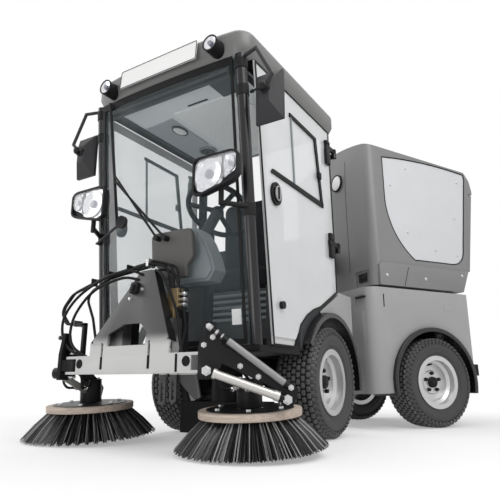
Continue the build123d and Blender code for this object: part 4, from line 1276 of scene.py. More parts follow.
@dataclass
class Doors:
    """Glass doors: rubber edges, pale borders, sliding windows, handles and knobs."""

    places: Places
    face: float = 0.515
    border_face: float = 0.502
    handle_spot: Pair = (-1.285, 1.168)
    rails: tuple[tuple[Pair, ...], ...] = (
        ((-1.33, 1.266), (-0.725, 1.262), (-0.725, 1.29), (-1.315, 1.288)),
        ((-0.752, 1.28), (-0.724, 1.262), (-0.798, 1.672), (-0.824, 1.65)),
        ((-1.125, 1.66), (-0.81, 1.652), (-0.798, 1.672), (-1.125, 1.68)))
    window_split: tuple[Pair, ...] = ((-1.087, 1.28), (-1.073, 1.28), (-1.101, 1.668), (-1.115, 1.668))
    leaf_clamps: tuple[tuple[Pair, Pair], ...] = (
        ((-0.672, 1.565), (-0.618, 1.666)), ((-0.672, 1.696), (-0.618, 1.716)),
        ((-0.66, 0.985), (-0.606, 1.056)), ((-0.66, 1.088), (-0.606, 1.13)))
    outline: tuple[Pair, ...] = (
        (-1.474, 1.797), (-1.317, 0.448), (-1.1, 0.448), (-1.04, 0.56), (-0.97, 0.612), (-0.89, 0.65),
        (-0.8, 0.676), (-0.562, 0.792), (-0.6, 1.797))

    def build(self) -> None:
        """Builds the trim of both doors."""
        for side in Side:
            self.edge(side)
            self.slider(side)
            self.handle(side)

    def edge(self, side: Side) -> None:
        """Builds the rubber edge and the pale border inside the glass.

        Args:
            side: The door's side.
        """
        s, body, front = side.value, f"door_{side.label}", self.places.front()
        outer, inner = s * self.face, s * self.border_face
        rubber = Shape().plate(
            side_on(outer, self.outline), (s * 0.004, 0, 0), side_on(outer, inset(self.outline, 0.009)))
        rubber.piece(f"{body}_rubber_edge", Look.RUBBER, body, front)
        border = Shape().plate(
            side_on(inner, inset(self.outline, 0.006)), (s * 0.0025, 0, 0),
            side_on(inner, inset(self.outline, 0.062)))
        border.piece(f"{body}_pale_border", Look.BORDER, body, front)

    def slider(self, side: Side) -> None:
        """Builds the sliding window's frame and catch.

        Args:
            side: The door's side.
        """
        s, body, front = side.value, f"door_{side.label}", self.places.front()
        frame = Shape()
        for rail in self.rails:
            frame.plate(side_on(s * self.face, rail), (s * 0.008, 0, 0))
        frame.piece(f"{body}_window_frame", Look.RUBBER, body, front)
        bar = Shape().plate(side_on(s * self.face, self.window_split), (s * 0.006, 0, 0))
        bar.piece(f"{body}_window_bar", Look.COVER, body, front)
        catch = Shape().box((s * self.face, -0.795, 1.42), (s * (self.face + 0.02), -0.763, 1.462), 0.004)
        catch.piece(f"{body}_window_catch", Look.PLASTIC, body, front)

    def handle(self, side: Side) -> None:
        """Builds the handle's ring and flap, and the clamps round the hinge leaves.

        Args:
            side: The door's side.
        """
        s, body, front = side.value, f"door_{side.label}", self.places.front()
        turns = [math.tau * k / 36 for k in range(36)]
        y, z = self.handle_spot

        def oval(x: float, wide: float, tall: float) -> list[Triple]:
            """Returns an oval's points about the handle's middle."""
            return [(s * x, y + wide * math.cos(a), z + tall * math.sin(a)) for a in turns]

        ring = Shape().plate(oval(self.face, 0.048, 0.058), (s * 0.012, 0, 0), oval(self.face, 0.0345, 0.044))
        ring.piece(f"{body}_handle_ring", Look.PLASTIC, body, front)
        flap = Shape().plate(oval(self.face + 0.0182, 0.029, 0.038), (s * 0.003, 0, 0))
        flap.piece(f"{body}_handle_flap", Look.PALE, body, front)
        bar = Shape().box(
            (s * (self.face + 0.0205), -1.293, 1.138), (s * (self.face + 0.026), -1.279, 1.198), 0.002)
        bar.piece(f"{body}_handle_bar", Look.PLASTIC, body, front)
        clamp = Shape()
        for low, high in self.leaf_clamps:
            clamp.box((s * self.face, *low), (s * (self.face + 0.02), *high), 0.004)
        clamp.piece(f"{body}_hinge_clamps", Look.PLASTIC, body, front)


@dataclass
class Lamps:
    """Headlamps, roof lamps, rear lamps and the blank number plate."""

    places: Places
    head_face: float = -1.62
    rim_outline: tuple[Pair, ...] = (
        (0.285, 1.25), (0.291, 1.262), (0.312, 1.27), (0.49, 1.27), (0.516, 1.262), (0.53, 1.244),
        (0.53, 1.158), (0.522, 1.14), (0.5, 1.126), (0.33, 1.086), (0.3, 1.09), (0.285, 1.108))
    lens_outline: tuple[Pair, ...] = (
        (0.297, 1.2), (0.3, 1.236), (0.318, 1.256), (0.36, 1.26), (0.44, 1.26), (0.49, 1.259), (0.511, 1.252),
        (0.519, 1.236), (0.519, 1.198), (0.506, 1.172), (0.475, 1.158), (0.446, 1.142), (0.425, 1.118),
        (0.395, 1.104), (0.345, 1.1), (0.312, 1.112), (0.299, 1.145))
    main_spot: Pair = (0.37, 1.182)
    turn_spot: Pair = (0.482, 1.208)
    roof_spot: Triple = (0.355, -1.615, 1.862)
    plate_spot: Triple = (-0.005, -1.592, 1.882)
    plate_size: Pair = (0.52, 0.11)
    plate_lean: float = -5.0

    def build(self) -> None:
        """Builds the lamps' pieces and the plate."""
        for side in Side:
            self.head(side)
            self.roof(side)
            self.rear(side)
        self.plate()

    def head(self, side: Side) -> None:
        """Builds a headlamp's rim, reflectors, bulbs and lens.

        Args:
            side: The lamp's side.
        """
        s, y = side.value, self.head_face
        front = self.places.front()
        flat = [(s * x, z) for x, z in self.rim_outline]
        opening = front_on(y, inset(flat, 0.01))
        rim = Shape().plate(front_on(y, flat), (0, -0.016, 0), opening)
        rim.plate(opening, (0, -0.0015, 0))
        rim.piece(f"headlamp_rim_{side.label}", Look.PLASTIC, "front", front)
        inner = [(s * x, z) for x, z in self.lens_outline]
        back = Shape().plate(front_on(y - 0.0015, inner), (0, -0.002, 0))
        back.piece(f"headlamp_back_{side.label}", Look.REFLECTOR, "front", front)
        main, turn = (
            Matrix.Translation((s * x, y - 0.0035, z)) @ AHEAD for x, z in (self.main_spot, self.turn_spot))
        turn = turn @ Matrix.Diagonal((0.8, 1.15, 1, 1))
        bowls = Shape().lathe([
            (0.0, 0.03), (0.002, 0.044), (0.005, 0.06), (0.0085, 0.068), (0.0085, 0.071), (0.0, 0.072)],
            main, 40)
        bowls.lathe([(0.0, 0.012), (0.003, 0.026), (0.008, 0.036), (0.0, 0.038)], turn, 32)
        bowls.piece(f"headlamp_bowls_{side.label}", Look.REFLECTOR, "front", front)
        bulb = Shape().lathe(
            [(0.0, 0.0), (0.0, 0.022), (0.006, 0.021), (0.0085, 0.014), (0.009, 0)], main, 24)
        bulb.lathe([(0.0, 0.0), (0.0, 0.011), (0.005, 0.01), (0.008, 0.005), (0.0085, 0)], turn, 20)
        bulb.piece(f"headlamp_bulbs_{side.label}", Look.BULB, "front", front)
        edge = Shape().box((s * 0.4435, y - 0.0125, 1.142), (s * 0.4475, y - 0.0035, 1.258))
        edge.piece(f"headlamp_divider_{side.label}", Look.TRIM, "front", front)
        rib = Shape().box((-0.0022, -0.0012, -0.036), (0.0022, 0.0012, 0.036))
        ribs = [((s * (0.455 + 0.0092 * k), y - 0.0128, 1.212), (0, 0, 1)) for k in range(6)]
        spread(rib, f"headlamp_ribs_{side.label}", "front", front, ribs, Look.LENS)
        dome = inset(inner, 0.018)
        lens = Shape()
        outer, crown, below = (
            [lens.bm.verts.new(point) for point in front_on(y - deep, line)]
            for deep, line in ((0.013, inner), (0.02, dome), (0.0145, dome)))
        for ring in (crown, below):
            lens.wall(outer, ring)
            lens.bm.faces.new(ring)
        lens.piece(f"headlamp_lens_{side.label}", Look.LENS, "front", front)

    def roof(self, side: Side) -> None:
        """Builds a roof lamp's reflector, lens and collar.

        Args:
            side: The lamp's side.
        """
        x, y, z = self.roof_spot
        place = self.places.front() @ Matrix.Translation((side.value * x, y, z)) @ AHEAD
        for name, finish, sides, section in (
                ("collar", Look.PLASTIC, 36,
                 [(0.0, 0.034), (0.0, 0.043), (0.008, 0.043), (0.01, 0.036), (0.0, 0.034)]),
                ("reflector", Look.REFLECTOR, 36,
                 [(0.001, 0.0), (0.0015, 0.02), (0.006, 0.0345), (0.004, 0.035)]),
                ("bulb", Look.BULB, 24, [(0.003, 0.013), (0.01, 0.012), (0.014, 0.006), (0.0145, 0)])):
            lamp = Shape().lathe(section, Matrix(), sides)
            lamp.piece(f"roof_lamp_{name}_{side.label}", finish, "front", place)

    def rear(self, side: Side) -> None:
        """Builds a rear lamp's red and amber lenses.

        Args:
            side: The lamp's side.
        """
        s = side.value
        for name, finish, low, high in (
                ("tail", Look.LAMP_RED, 0.607, 0.654), ("turn", Look.LAMP_AMBER, 0.566, 0.604)):
            lens = Shape().box((s * 0.396, 1.11, low), (s * 0.484, 1.12, high), 0.003)
            lens.piece(f"{name}_lens_{side.label}", finish, "rear", self.places.rear())

    def plate(self) -> None:
        """Builds the blank number plate on the roof's front."""
        lean = Matrix.Rotation(math.radians(self.plate_lean), 4, "X")
        place = self.places.front() @ Matrix.Translation(self.plate_spot) @ lean
        flat = rounded(*self.plate_size, 0.01)
        face = Shape().plate(front_on(0, flat), (0, -0.004, 0))
        face.piece("number_plate_blank", Look.PLATE, "front", place)
        edge = Shape().plate(front_on(-0.0035, flat), (0, -0.002, 0), front_on(-0.0035, inset(flat, 0.004)))
        edge.piece("number_plate_edge", Look.TRIM, "front", place)


@dataclass
class CabInterior:
    """Seat cushions and the ribbed front of the seat's base."""

    places: Places
    cuts: int = 11
    crown_share: float = 0.14
    seam_place: float = 0.56
    seam_half: float = 0.05
    seam_draw: float = 0.955

    def build(self) -> None:
        """Builds the seat and the ribs of its base."""
        self.seat()
        rib = Shape().box((-0.285, -0.016, -0.009), (0.285, 0.016, 0.009), 0.004)
        ribs = [((0, -0.94, 0.626 + 0.034 * k), (0, 0, 1)) for k in range(5)]
        spread(rib, "seat_base_ribs", "front", self.places.front(), ribs, Look.COVER)

    def seat(self) -> None:
        """Builds padded cushions in place of the CAD seat."""
        lo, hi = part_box("seat")
        size = hi - lo
        base = self.cushion((lo.x, lo.y, lo.z), (hi.x, hi.y - 0.16 * size.y, lo.z + 0.24 * size.z), 0.045, 2)
        back_low = (lo.x + 0.02, hi.y - 0.32 * size.y, lo.z + 0.2 * size.z)
        back = self.cushion(back_low, (hi.x - 0.02, hi.y, hi.z), 0.05, 1)
        for name, shape in (("seat_cushion", base), ("seat_back_cushion", back)):
            made = shape.piece(name, Look.CLOTH, "front", Matrix(), 60)
            if name == "seat_cushion":
                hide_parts("seat")

    def cushion(self, low: Numbers, high: Numbers, radius: float, thin: int) -> Shape:
        """Builds a crowned cushion with rounded edges and two sewn lines.

        Args:
            low: One corner.
            high: The other corner.
            radius: Radius of the edges.
            thin: The axis along which it is crowned.

        Returns:
            The cushion's shape.
        """
        shape = Shape().box(low, high)
        bmesh.ops.subdivide_edges(shape.bm, edges=shape.bm.edges[:], cuts=self.cuts, use_grid_fill=True)
        middle, half = (Vector(low) + Vector(high)) / 2, (Vector(high) - Vector(low)) / 2
        for vert in shape.bm.verts:
            away = vert.co - middle
            core = Vector([max(-(half[i] - radius), min(half[i] - radius, away[i])) for i in range(3)])
            rest = away - core
            if rest.length > 0:
                away = core + rest.normalized() * radius
            first, second = (1 - (away[i] / half[i]) ** 2 for i in range(3) if i != thin)
            away[thin] *= 1 - self.crown_share + self.crown_share * max(0.0, first * second)
            if abs(abs(away.x) - half.x * self.seam_place) < half.x * self.seam_half:
                away[thin] *= self.seam_draw
            vert.co = middle + away
        return shape


@dataclass
class HeadlinerFittings:
    """Panels, lamp, speaker and rails under the roof."""

    places: Places
    under: float = 1.787
    speckled: tuple[Pair, ...] = (
        (-0.136, -1.3), (0.3, -1.3), (0.3, -0.7), (-0.081, -0.692), (-0.136, -0.762))
    side_panel: tuple[Pair, ...] = (
        (-0.4, -1.25), (-0.176, -1.268), (-0.19, -0.9), (-0.3, -0.7), (-0.4, -0.7))
    lamp_spot: Pair = (-0.226, -1.135)
    speaker_spot: Pair = (-0.251, -0.816)
    rail_start: float = 0.407
    rail_step: float = 0.0062

    def build(self) -> None:
        """Builds the fittings."""
        front = self.places.front()
        for name, outline, finish, deep in (
                ("headliner_speckled_panel", self.speckled, Look.SPECKLE, 0.006),
                ("headliner_side_panel", self.side_panel, Look.LINING, 0.005),
                ("headliner_hatch", corners((0.222, -1.44), (0.37, -1.31)), Look.TRIM, 0.012),
                # The slot is a dark sheet that paints the shade inside it
                ("headliner_slot", corners((-0.012, -1.33), (0.123, -1.318)), Look.DARK, 0.003)):
            panel = Shape().plate([(x, y, self.under) for x, y in outline], (0, 0, -deep))
            panel.piece(name, finish, "front", front)
        down = Matrix.Rotation(math.pi, 4, "X")
        lamp, speaker = (
            front @ Matrix.Translation((x, y, self.under - 0.005)) @ down
            for x, y in (self.lamp_spot, self.speaker_spot))
        oval = Matrix.Diagonal((0.62, 1, 1, 1))
        for name, finish, place, squash, section in (
                ("lamp_ring", Look.TRIM, lamp, oval,
                 [(0.0, 0.054), (0.0, 0.064), (0.01, 0.062), (0.012, 0.054), (0.0, 0.054)]),
                ("lamp_lens", Look.PLATE, lamp, oval,
                 [(0.0, 0.0), (0.0, 0.053), (0.008, 0.053), (0.013, 0.045), (0.016, 0.03), (0.017, 0)]),
                ("speaker_cone", Look.DARK, speaker, Matrix(),
                 [(0.0, 0.0), (0.0, 0.05), (0.006, 0.048), (0.009, 0)]),
                ("speaker_ring", Look.STRUT, speaker, Matrix(),
                 [(0.0, 0.049), (0.0, 0.06), (0.008, 0.058), (0.01, 0.049), (0.0, 0.049)])):
            Shape().lathe(section, squash, 40).piece(f"headliner_{name}", finish, "front", place)
        bar = Shape().box((0.012, -0.0022, 0.0075), (0.047, 0.0022, 0.0105))
        Ring(18, 0.0).piece(bar, "headliner_speaker_bars", Look.TRIM, "front", speaker)
        for side in Side:
            rib = Shape().box((-0.0016, -0.39, -0.004), (0.0016, 0.39, 0.004))
            across = [side.value * (self.rail_start + self.rail_step * k) for k in range(5)]
            ribs = [((x, -1.07, self.under - 0.004), (0, 0, 1)) for x in across]
            spread(rib, f"headliner_rail_{side.label}", "front", front, ribs, Look.TRIM)


@dataclass
class Glazing:
    """Windscreen seals, the sunblind's roll, the column cover and a bare label place."""

    places: Places
    foot: float = -1.411
    lean: float = -0.1024
    floor: float = 0.448
    half: float = 0.456
    bow: float = 0.014
    seal_gap: float = 0.004
    seal_depth: Triple = (0, 0.0036, 0)
    pillar: Pair = (0.47, -1.387)
    clamp_heights: tuple[Pair, ...] = ((1.6, 1.65), (1.735, 1.785), (1.02, 1.075))
    cover: tuple[Pair, ...] = (
        (0.02, 1.03), (0.13, 1.03), (0.16, 1.01), (0.2, 0.95), (0.239, 0.868), (0.258, 0.803), (0.225, 0.754),
        (0.02, 0.754))
    label_place: tuple[Pair, ...] = corners((0.363, 0.537), (0.412, 0.606))

    def build(self) -> None:
        """Builds the pieces round the windscreen."""
        front = self.places.front()
        self.seals(front)
        self.clamps(front)
        self.sunblind(front)
        pod = Shape().plate(front_on(-1.412, self.cover), (0, 0.0915, 0))
        pod.plate(front_on(-1.424, inset(self.cover, 0.012)), (0, 0.012, 0))
        pod.piece("column_cover", Look.COVER, "front", front)
        spots = [(x, self.front_y(x, z) + 0.0065, z) for x, z in self.label_place]
        patch = Shape().plate(spots, (0, 0.0006, 0))
        patch.piece("bare_label_place", Look.PLATE, "front", front)

    def seals(self, front: Matrix) -> None:
        """Builds the rubber round the windscreen and over the doors.

        Args:
            front: Matrix from the front frame to the row frame.
        """
        seal = Shape()
        wide = [self.half * (k / 12 - 1) * 0.962 for k in range(25)]
        for low, high in ((0.451, 0.474), (1.762, 1.799)):
            seal.strip(self.line(wide, low), self.line(wide, high), self.seal_depth)
        tall = [0.474 + 0.092 * k for k in range(15)]
        for side in Side:
            edges = [
                [(side.value * x, self.front_y(x, z) - self.seal_gap, z) for z in tall]
                for x in (0.424, 0.4386)]
            seal.strip(*edges, self.seal_depth)
        seal.piece("windscreen_seal", Look.RUBBER, "front", front)
        heads = Shape()
        for side in Side:
            s = side.value
            heads.box((s * 0.44, -1.47, 1.7985), (s * 0.503, -0.6, 1.8045))
            heads.box((s * 0.4862, -1.47, 1.7985), (s * 0.503, -0.6, 1.806))
        heads.piece("door_head_seals", Look.RUBBER, "front", front)

    def clamps(self, front: Matrix) -> None:
        """Builds the clamps round the front pillars.

        Args:
            front: Matrix from the front frame to the row frame.
        """
        x, foot = self.pillar
        clamps = Shape()
        for side in Side:
            for heights in self.clamp_heights:
                low, high = ((side.value * x, foot + self.lean * (z - self.floor), z) for z in heights)
                clamps.rod(low, high, 0.0318, sides=32)
        clamps.piece("pillar_clamps", Look.PLASTIC, "front", front)

    @staticmethod
    def sunblind(front: Matrix) -> None:
        """Builds the sunblind's roll and its ends.

        Args:
            front: Matrix from the front frame to the row frame.
        """
        roll = Shape().rod((-0.4, -1.512, 1.752), (0.4, -1.512, 1.752), 0.0245, sides=32)
        roll.piece("sunblind_roll", Look.TRIM, "front", front)
        ends = Shape()
        for side in Side:
            ends.box((side.value * 0.4, -1.534, 1.728), (side.value * 0.42, -1.49, 1.804), 0.004)
        ends.box((-0.4, -1.545, 1.72), (0.4, -1.539, 1.734), 0.002)
        ends.piece("sunblind_ends", Look.PLASTIC, "front", front)

    def front_y(self, x: float, z: float) -> float:
        """Returns the y of the glass's front at a place across it and a height."""
        return self.foot + self.lean * (z - self.floor) - self.bow * (1 - (x / self.half) ** 2)

    def line(self, wide: Iterable[float], z: float) -> list[Triple]:
        """Returns a line of points just ahead of the glass, at places across it and one height."""
        return [(x, self.front_y(x, z) - self.seal_gap, z) for x in wide]


@dataclass
class BrushGear:
    """Latch, bolts, hose clamps and fittings on the carrier, and the sleeves and pins of the arms."""

    places: Places
    angles: dict[Side, float] = field(default_factory=lambda: {Side.LEFT: 54.0, Side.RIGHT: 16.0})
    beam_face: float = -1.677
    beam_top: float = 0.46
    lean: float = math.radians(12.8)
    flange_lines: tuple[tuple[Pair, Pair, Pair], ...] = (
        ((0.222, 0.004), (0.0545, 0.332), (0.895, 0.445)), ((-0.25, 0.004), (-0.0325, 0.332), (-0.84, 0.54)))
    flange_gap: float = 0.0004
    flange_thick: float = 0.0012
    valve_heights: Triple = (0.625, 0.649, 0.673)
    thin_hose: float = 0.0068
    motor_hose: float = 0.0065
    hose_lines: tuple[tuple[Triple, ...], ...] = (
        ((-0.01, -1.606, 0.772), (-0.1, -1.618, 0.8), (-0.26, -1.622, 0.775), (-0.42, -1.63, 0.7),
         (-0.5, -1.64, 0.6), (-0.475, -1.655, 0.5), (-0.4, -1.668, 0.44), (-0.31, -1.66, 0.405)),
        ((-0.03, -1.61, 0.75), (-0.13, -1.625, 0.765), (-0.3, -1.635, 0.72), (-0.405, -1.645, 0.62),
         (-0.425, -1.655, 0.52), (-0.375, -1.668, 0.45), (-0.29, -1.66, 0.405)),
        ((0.05, -1.59, 0.79), (0.1, -1.6, 0.76), (0.16, -1.6, 0.66), (0.21, -1.61, 0.56), (0.25, -1.64, 0.46),
         (0.27, -1.65, 0.404)))
    kingpin: Pair = (0.395, -1.645)

    def build(self) -> None:
        """Builds the gear's pieces."""
        self.carrier()
        self.hoses()
        for side in Side:
            self.arm(side)

    def carrier(self) -> None:
        """Builds the latch, bolts and valve fittings."""
        front = self.places.front()
        lean = Matrix.Rotation(-self.lean, 4, "X")
        latch = Shape().box((-0.052, -1.646, 0.682), (-0.012, -1.62, 0.734), 0.004, lean)
        latch.box((-0.036, -1.662, 0.69), (-0.018, -1.64, 0.722), 0.003, lean)
        latch.piece("frame_latch", Look.BLACK, "carrier", front)
        out = (0, -math.cos(self.lean), math.sin(self.lean))
        Bolts(0.014, 0.008).set("frame_bolts", "carrier", front, [
            ((x, self.beam_face + (z - self.beam_top) * math.tan(self.lean), z), out)
            for x, z in ((0.004, 0.7), (-0.06, 0.66))])
        # Dark sheets paint the shade inside the beam's slots and round holes
        hole_shade = Shape()
        for x in (-0.172, 0.112):
            hole_shade.box((x - 0.007, -1.6778, 0.345), (x + 0.007, -1.6765, 0.4))
        for x in (-0.315, 0.315):
            spot = Matrix.Translation((x, -1.6765, 0.372)) @ AHEAD
            hole_shade.lathe([(0.0, 0.0), (0.0, 0.021), (0.0014, 0.021), (0.0014, 0)], spot, 28)
        hole_shade.box((0.258, -1.678, 0.33), (0.27, -1.6765, 0.402))
        hole_shade.piece("beam_slots", Look.DARK, "carrier", front)
        self.flanges()
        fitting = self.fitting((0.01, 0.02, 0.022, 0.03), (0.0085, 0.0105, 0.0075))
        spots = [((0.105, y, z), (-1, 0, 0)) for y in (-1.558, -1.542) for z in self.valve_heights]
        spots += [((0.176, -1.55, z), (1, 0, 0)) for z in self.valve_heights]
        spread(fitting, "valve_fittings", "carrier", front, spots, Look.STEEL)
        clamp = Shape().box((-0.008, -1.6, 0.812), (0.008, -1.545, 0.853), 0.006)
        clamp.piece("hose_saddle", Look.STEEL, "carrier", front)
        sleeve = Shape().box((-0.3432, -1.6562, 0.4035), (-0.3268, -1.6338, 0.5652), 0.002)
        sleeve.box((-0.403, -1.6562, 0.5508), (-0.3268, -1.6338, 0.5652), 0.002)
        sleeve.piece("hose_bracket_sleeve", Look.BLACK, "carrier", front)
        ties = Shape()
        for x, z in ((-0.12, 0.813), (-0.25, 0.798), (-0.36, 0.771)):
            ties.box((x - 0.004, -1.606, z - 0.016), (x + 0.004, -1.566, z + 0.022), 0.003)
        ties.piece("hose_ties", Look.PLASTIC, "carrier", front)

    @staticmethod
    def fitting(heights: tuple[float, float, float, float], radii: Triple) -> Shape:
        """Builds a hose fitting of a stem, a nut and a neck, standing up along z.

        Args:
            heights: Tops of the stem and the nut, and foot and top of the neck.
            radii: Radii of the stem, the nut and the neck.

        Returns:
            The fitting.
        """
        a, b, c, d = heights
        stem, nut, neck = radii
        profile = [(0.0, 0), (0.0, stem), (a, stem), (a, nut), (b, nut), (c, neck), (d, neck), (d, 0)]
        return Shape().lathe(profile, Matrix(), 12)

    def flanges(self) -> None:
        """Builds black sheets on the frame's side flanges, which paint the shade on them."""
        sine, cosine = math.sin(self.lean), math.cos(self.lean)
        faces = Shape()
        for foot, head, way in self.flange_lines:
            points = []
            for (u, v), deep in ((foot, 0.002), (foot, 0.05), (head, 0.05), (head, 0.002)):
                u, v = u + self.flange_gap * way[0], v + self.flange_gap * way[1]
                points.append((
                    u, self.beam_face + v * sine + deep * cosine, self.beam_top + v * cosine - deep * sine))
            out, up = self.flange_thick * way[0], self.flange_thick * way[1]
            faces.plate(points, (out, up * sine, up * cosine))
        faces.piece("frame_flange_faces", Look.BLACK, "carrier", self.places.front())

    def hoses(self) -> None:
        """Builds the thin hoses that are tied along the thick ones."""
        bundle = Shape()
        for line in self.hose_lines:
            bundle.tube(line, self.thin_hose, 10, 8)
        bundle.piece("tied_hoses", Look.RUBBER, "carrier", self.places.front(), 60)

    def arm(self, side: Side) -> None:
        """Builds one arm's sleeves, pins and bolts, and what sits on its motor.

        Args:
            side: The arm's side.
        """
        s, body = side.value, f"arm_{side.label}"
        place = (
            self.places.front() @ Matrix.Translation((s * self.kingpin[0], self.kingpin[1], 0))
            @ Matrix.Rotation(math.radians(-s * self.angles[side]), 4, "Z"))
        low, far = Vector((s * 0.08, 0, 0.332)), Vector((s * 0.08, 0.308, 0.226))
        sleeve = Shape().rod(low.lerp(far, 0.1), low.lerp(far, 0.86), 0.0165, sides=32)
        sleeve.rod(low.lerp(far, 0.84), low.lerp(far, 0.9), 0.0195, sides=32)
        sleeve.rod(low.lerp(far, 0.08), low.lerp(far, 0.12), 0.0195, sides=32)
        sleeve.piece(f"arm_lower_sleeve_{side.label}", Look.TUBE, body, place)
        top, foot = Vector((s * 0.078, 0.086, 0.442)), Vector((s * 0.078, 0.322, 0.27))
        strut = Shape().rod(top.lerp(foot, -0.02), top.lerp(foot, 0.9), 0.0138, sides=32)
        strut.piece(f"arm_strut_{side.label}", Look.STRUT, body, place)
        rod = Vector((s * 0.078, 0.006, 0.5))
        nuts = Shape()
        for share in (0.0, 0.34, 0.62):
            spot = rod.lerp(top, share)
            nuts.rod(spot, spot.lerp(top, 0.16), 0.0125, sides=6)
        nuts.piece(f"arm_rod_nuts_{side.label}", Look.STEEL, body, place)
        out = (s, 0, 0)
        Bolts(0.03, 0.012).set(f"arm_pin_heads_{side.label}", body, place, [
            ((s * 0.0955, 0, 0.332), out), ((s * 0.0915, 0.308, 0.226), out)])
        Bolts(0.018, 0.009).set(f"arm_bolts_{side.label}", body, place, [
            ((s * 0.0915, 0.006, 0.5), out), ((s * 0.0915, 0.322, 0.27), out),
            ((s * 0.062, -0.012, 0.43), out), ((s * 0.062, 0.022, 0.46), out),
            ((s * 0.062, 0.13, 0.35), out), ((s * 0.062, 0.2, 0.31), out)])
        Bolts(0.034, 0.008).set(f"kingpin_nut_{side.label}", body, place, [
            ((0, 0, 0.42), (0, 0, 1)), ((0, 0, 0.315), (0, 0, -1))])
        self.motor(side, place)

    def motor(self, side: Side, place: Matrix) -> None:
        """Builds the bolts, fittings and hoses of one brush's motor.

        Args:
            side: The arm's side.
            place: The arm's frame.
        """
        body = f"arm_{side.label}"
        spin = self.places.spin(f"brush_{side.label}_spin", Vector((0, 0, 1)))
        turns = [math.pi / 4 + math.tau * k / 4 for k in range(4)]
        Bolts(0.016, 0.008).set(f"motor_bolts_{side.label}", body, spin, [
            ((0.038 * math.cos(a), 0.038 * math.sin(a), 0.1225), (0, 0, 1)) for a in turns])
        fitting = self.fitting((0.014, 0.026, 0.028, 0.036), (0.01, 0.013, 0.008))
        ways = [(math.sin(a), -math.cos(a)) for a in (-0.5, 0.5)]
        spots = [((0.053 * x, 0.053 * y, 0.085), (x, y, 0)) for x, y in ways]
        spread(fitting, f"motor_fittings_{side.label}", body, spin, spots, Look.STEEL)
        lines = Shape()
        knuckle = spin.inverted() @ place @ Vector((side.value * 0.03, 0.0, 0.395))
        for x, y in ways:
            begin = Vector((0.088 * x, 0.088 * y, 0.085))
            out, bend = Vector((0.035 * x, 0.035 * y, 0.006)), Vector((0.055 * x, 0.05 * y, 0.05))
            over = knuckle + (begin - knuckle) * 0.35 + Vector((0, 0, 0.06))
            lines.tube([begin, begin + out, begin + bend, over, knuckle], self.motor_hose, 10, 8)
        lines.piece(f"motor_hoses_{side.label}", Look.RUBBER, body, spin, 60)


